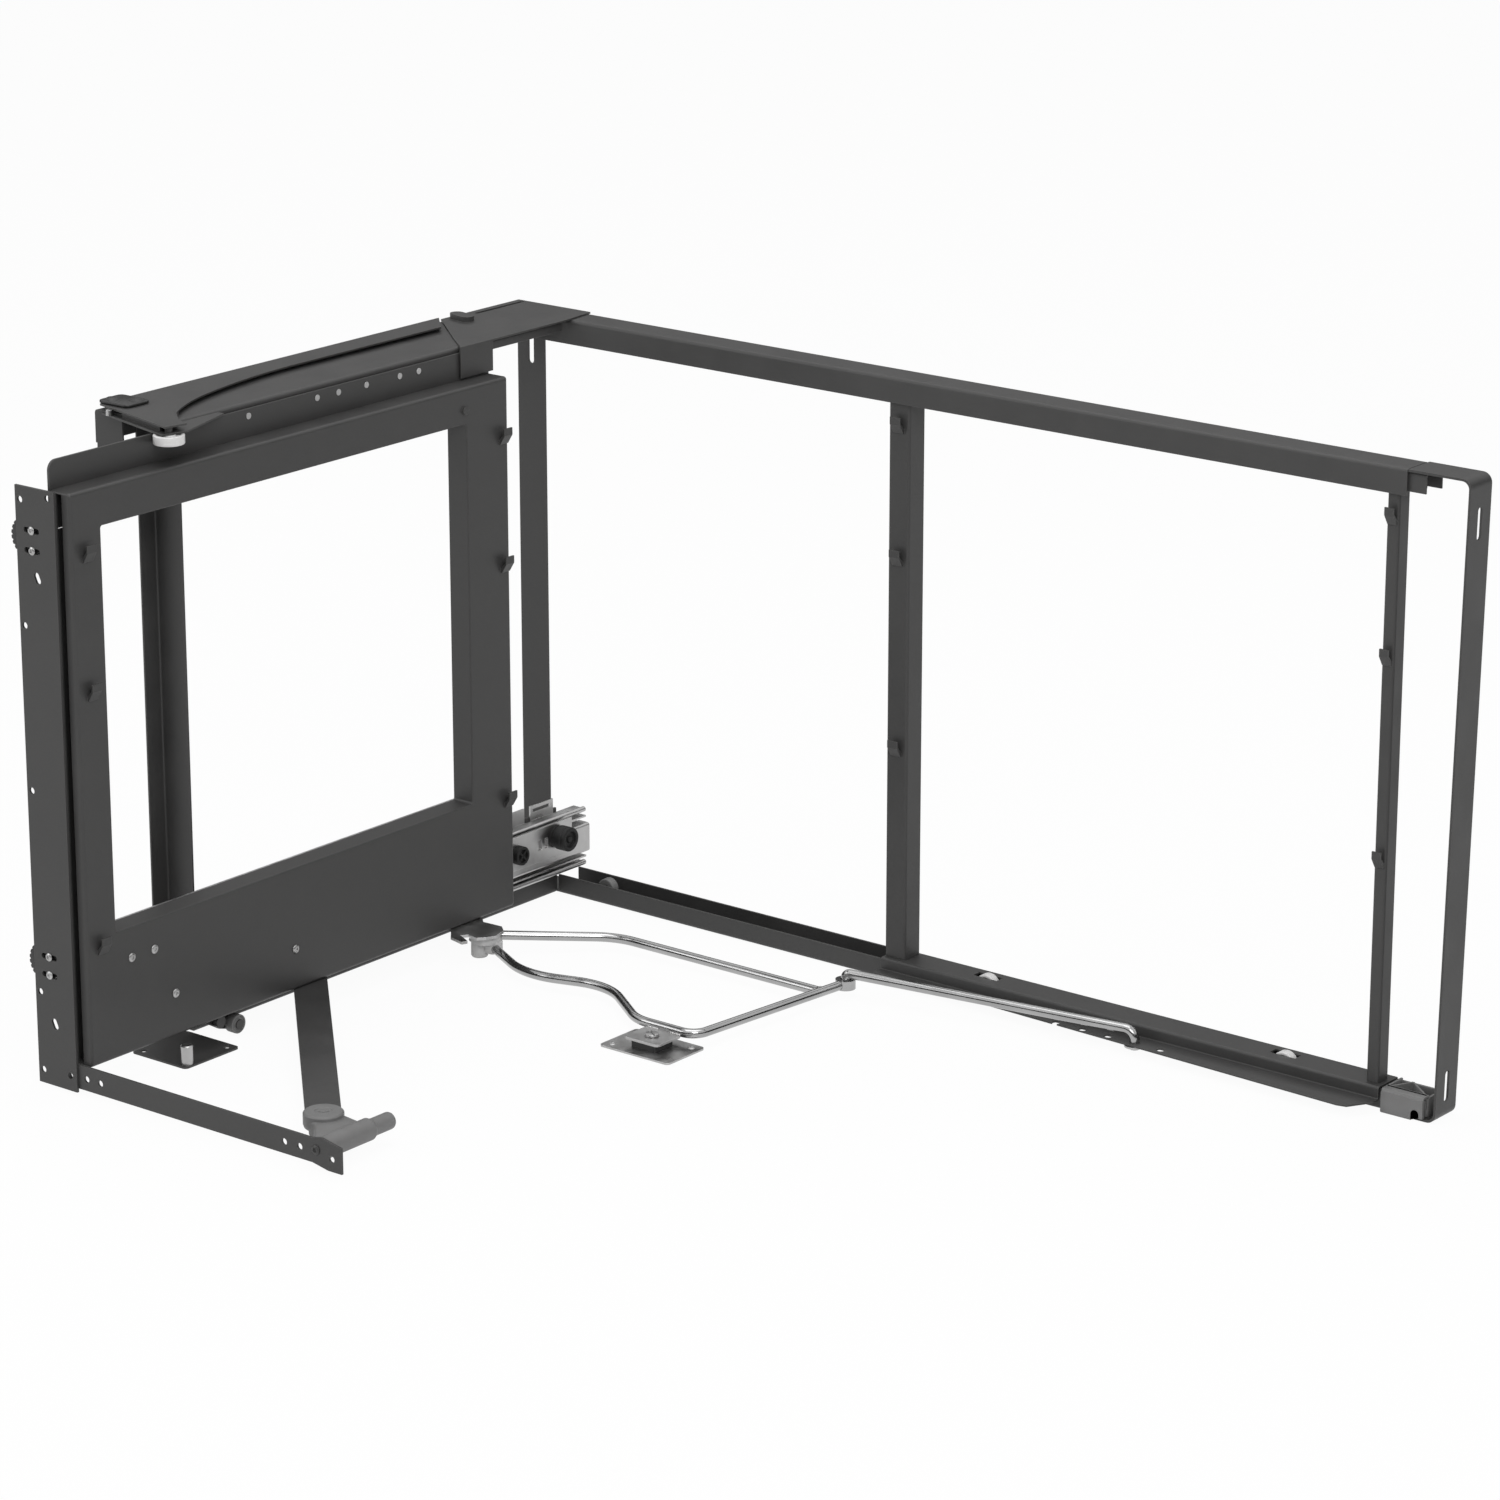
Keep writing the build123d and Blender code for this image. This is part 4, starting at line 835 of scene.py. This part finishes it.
make_piece(
    "rail_front_cap_moulded", "fixed_frame", "black_plastic", cap_shapes,
    stands_for=["rail_front_cap"],
)

BUFFER_FRONT, BUFFER_LENGTH = -18.0, 8.0
FOOT_LOW, FOOT_TOP, FOOT_HALF = 1.5, 6.0, 4
buffer_middle, buffer_size = middle_and_size("track_buffer")
buffer_radius = buffer_size.z / 2
buffer_profile = soften([
    (0, 1.0), (3.0, 1.0, 0.4), (3.6, 0, 0.4), (buffer_radius, 0, 1.2),
    (buffer_radius, BUFFER_LENGTH, 1.2), (0, BUFFER_LENGTH),
])
foot = soften([
    (-5, -FOOT_HALF, 0.8), (5, -FOOT_HALF, 0.8), (5, FOOT_HALF, 0.8), (-5, FOOT_HALF, 0.8),
])
buffer_shapes = [
    stand(turned(buffer_profile), (buffer_middle.x, BUFFER_FRONT, buffer_middle.z), (0, 1, 0)),
    stand(cast(foot, FOOT_LOW, FOOT_TOP, 0.4), (buffer_middle.x, BUFFER_FRONT + FOOT_HALF, 0)),
]
make_piece(
    "track_buffer_moulded", "fixed_frame", "grey_plastic", buffer_shapes,
    stands_for=["track_buffer"],
)

# %% [markdown]
# ## A pale room
# A photographer would stand the object on white paper. Here the paper is a large plane that
# looks white to the camera, keeps most of the object's shadow and still lights the steel from
# below. The world is white to the camera and to mirrors, and softer as a light.

# %% Floor and world
PAPER_GREY, PAPER_ROUGHNESS, PAPER_GLOW = 0.84, 0.9, 0.95
FIBRES_PER_METRE, FIBRE_DEPTH = 400, 0.0002
FLOOR_HALF, FLOOR_DROP = 30.0, 0.0003
SKY_STRENGTH = 0.5


def either(tree, first, second):
    """The larger of two masks, so 1 where one of them is 1."""
    larger = tree.nodes.new("ShaderNodeMath")
    larger.operation = "MAXIMUM"
    tree.links.new(first, larger.inputs[0])
    tree.links.new(second, larger.inputs[1])
    return larger.outputs[0]


def white_paper(share_of_glow):
    """Matt paper that glows white to the camera and to mirrors, by the given share."""
    material = bpy.data.materials.new("white paper")
    material.use_nodes = True
    tree = material.node_tree
    shader = tree.nodes["Principled BSDF"]
    shader.inputs["Base Color"].default_value = (PAPER_GREY, PAPER_GREY, PAPER_GREY, 1)
    shader.inputs["Roughness"].default_value = PAPER_ROUGHNESS
    texture = tree.nodes.new("ShaderNodeTexNoise")
    texture.inputs["Scale"].default_value = FIBRES_PER_METRE
    bump = tree.nodes.new("ShaderNodeBump")
    bump.inputs["Strength"].default_value = 0.05
    bump.inputs["Distance"].default_value = FIBRE_DEPTH
    tree.links.new(texture.outputs["Fac"], bump.inputs["Height"])
    tree.links.new(bump.outputs["Normal"], shader.inputs["Normal"])
    glow = tree.nodes.new("ShaderNodeEmission")
    glow.inputs["Color"].default_value = (1, 1, 1, 1)
    glow.inputs["Strength"].default_value = 1.0
    rays = tree.nodes.new("ShaderNodeLightPath").outputs
    share = tree.nodes.new("ShaderNodeMath")
    share.operation = "MULTIPLY"
    share.inputs[1].default_value = share_of_glow
    tree.links.new(either(tree, rays["Is Camera Ray"], rays["Is Glossy Ray"]), share.inputs[0])
    mix = tree.nodes.new("ShaderNodeMixShader")
    tree.links.new(share.outputs[0], mix.inputs["Fac"])
    tree.links.new(shader.outputs["BSDF"], mix.inputs[1])
    tree.links.new(glow.outputs["Emission"], mix.inputs[2])
    tree.links.new(mix.outputs["Shader"], tree.nodes["Material Output"].inputs["Surface"])
    return material


floor_mesh = bpy.data.meshes.new("floor")
floor_corners = [(-FLOOR_HALF, -FLOOR_HALF, 0), (FLOOR_HALF, -FLOOR_HALF, 0)]
floor_corners += [(FLOOR_HALF, FLOOR_HALF, 0), (-FLOOR_HALF, FLOOR_HALF, 0)]
floor_mesh.from_pydata(floor_corners, [], [(0, 1, 2, 3)])
floor = bpy.data.objects.new("floor", floor_mesh)
floor.location.z = -FLOOR_DROP
bpy.context.scene.collection.objects.link(floor)
floor.data.materials.append(white_paper(PAPER_GLOW))

world = bpy.data.worlds.new("pale room")
bpy.context.scene.world = world
world.use_nodes = True
air = world.node_tree
soft, white = air.nodes["Background"], air.nodes.new("ShaderNodeBackground")
for sky, strength in ((soft, SKY_STRENGTH), (white, 1.0)):
    sky.inputs["Color"].default_value = (1, 1, 1, 1)
    sky.inputs["Strength"].default_value = strength
rays = air.nodes.new("ShaderNodeLightPath").outputs
seen = either(air, rays["Is Camera Ray"], rays["Is Transmission Ray"])
mix = air.nodes.new("ShaderNodeMixShader")
air.links.new(either(air, seen, rays["Is Glossy Ray"]), mix.inputs["Fac"])
air.links.new(soft.outputs["Background"], mix.inputs[1])
air.links.new(white.outputs["Background"], mix.inputs[2])
air.links.new(mix.outputs["Shader"], air.nodes["World Output"].inputs["Surface"])
print("floor and world are ready")

# %% [markdown]
# ## A dark band for the chrome
# In an all white room chrome looks like white paint. Photographers stand dark cards round a
# shiny object, so that each rod mirrors a dark streak between two light ones. The card here is
# one dark ring round the object, seen by reflections alone: it gives no shade and stays out
# of the picture.

# %% Dark ring
MIDDLE = (0.48, -0.32, 0.25)
RING_RADIUS, RING_LOW, RING_HIGH, RING_SIDES = 7.0, 0.25, 3.1, 48
ring_angles = [math.tau * k / RING_SIDES for k in range(RING_SIDES)]
ring_corners = [
    (MIDDLE[0] + RING_RADIUS * math.cos(angle), MIDDLE[1] + RING_RADIUS * math.sin(angle), z)
    for z in (RING_LOW, RING_HIGH)
    for angle in ring_angles
]
ring_faces = [
    (k, (k + 1) % RING_SIDES, RING_SIDES + (k + 1) % RING_SIDES, RING_SIDES + k)
    for k in range(RING_SIDES)
]
ring_mesh = bpy.data.meshes.new("dark ring")
ring_mesh.from_pydata(ring_corners, [], ring_faces)
ring = bpy.data.objects.new("dark_ring", ring_mesh)
bpy.context.scene.collection.objects.link(ring)
card = bpy.data.materials.new("dark card")
card.use_nodes = True
card_shader = card.node_tree.nodes["Principled BSDF"]
card_shader.inputs["Base Color"].default_value = (0.03, 0.03, 0.03, 1)
card_shader.inputs["Roughness"].default_value = 1.0
ring.data.materials.append(card)
ring.visible_camera = False
ring.visible_diffuse = False
ring.visible_shadow = False
ring.visible_transmission = False
print("the dark ring is", RING_RADIUS, "m from the object's middle")

# %% [markdown]
# ## Soft studio light
# Three large area lamps do what soft boxes do in a studio: a key from the front right, a fill
# from the left and a broad light from above. Large lamps give soft shadows, and they are kept
# weak enough that a grey renders about as it is written.

# %% Lamps


def soft_box(name, place, aim, size, watts):
    """A square area lamp at a place, pointed at an aim, both in metres."""
    lamp = bpy.data.lights.new(name, "AREA")
    lamp.shape = "SQUARE"
    lamp.size = size
    lamp.energy = watts
    holder = bpy.data.objects.new(name, lamp)
    holder.location = place
    holder.rotation_euler = (Vector(aim) - Vector(place)).to_track_quat("-Z", "Y").to_euler()
    bpy.context.scene.collection.objects.link(holder)


soft_box("key", (2.6, -2.2, 2.4), MIDDLE, 1.6, 38)
soft_box("fill", (-1.8, -2.6, 1.6), MIDDLE, 1.8, 20)
soft_box("above", (0.3, -0.4, 3.2), MIDDLE, 2.4, 36)
print("three lamps are ready")

# %% [markdown]
# ## The camera
# The photograph looks at the object from the front right, from about 17 degrees above, with a
# long lens. Its place, aim and focal length were solved once from the straight edges of the
# frame, and are simply written down here. The lens is two percent shorter than solved, so that
# the object keeps a narrow margin.

# %% Camera
CAMERA_PLACE = (2.89479, -3.31154, 1.47145)
CAMERA_YAW, CAMERA_PITCH = 0.673248, 0.300046
LENS, SENSOR, FAR_CLIP = 125.4, 36, 100
camera_data = bpy.data.cameras.new("camera")
camera_data.lens = LENS
camera_data.sensor_width = SENSOR
camera_data.clip_end = FAR_CLIP
camera = bpy.data.objects.new("camera", camera_data)
camera.location = CAMERA_PLACE
camera.rotation_euler = (math.pi / 2 - CAMERA_PITCH, 0, CAMERA_YAW)
bpy.context.scene.collection.objects.link(camera)
bpy.context.scene.camera = camera
bpy.context.scene.view_settings.view_transform = "Standard"
print("camera at", CAMERA_PLACE, "with a", LENS, "mm lens")
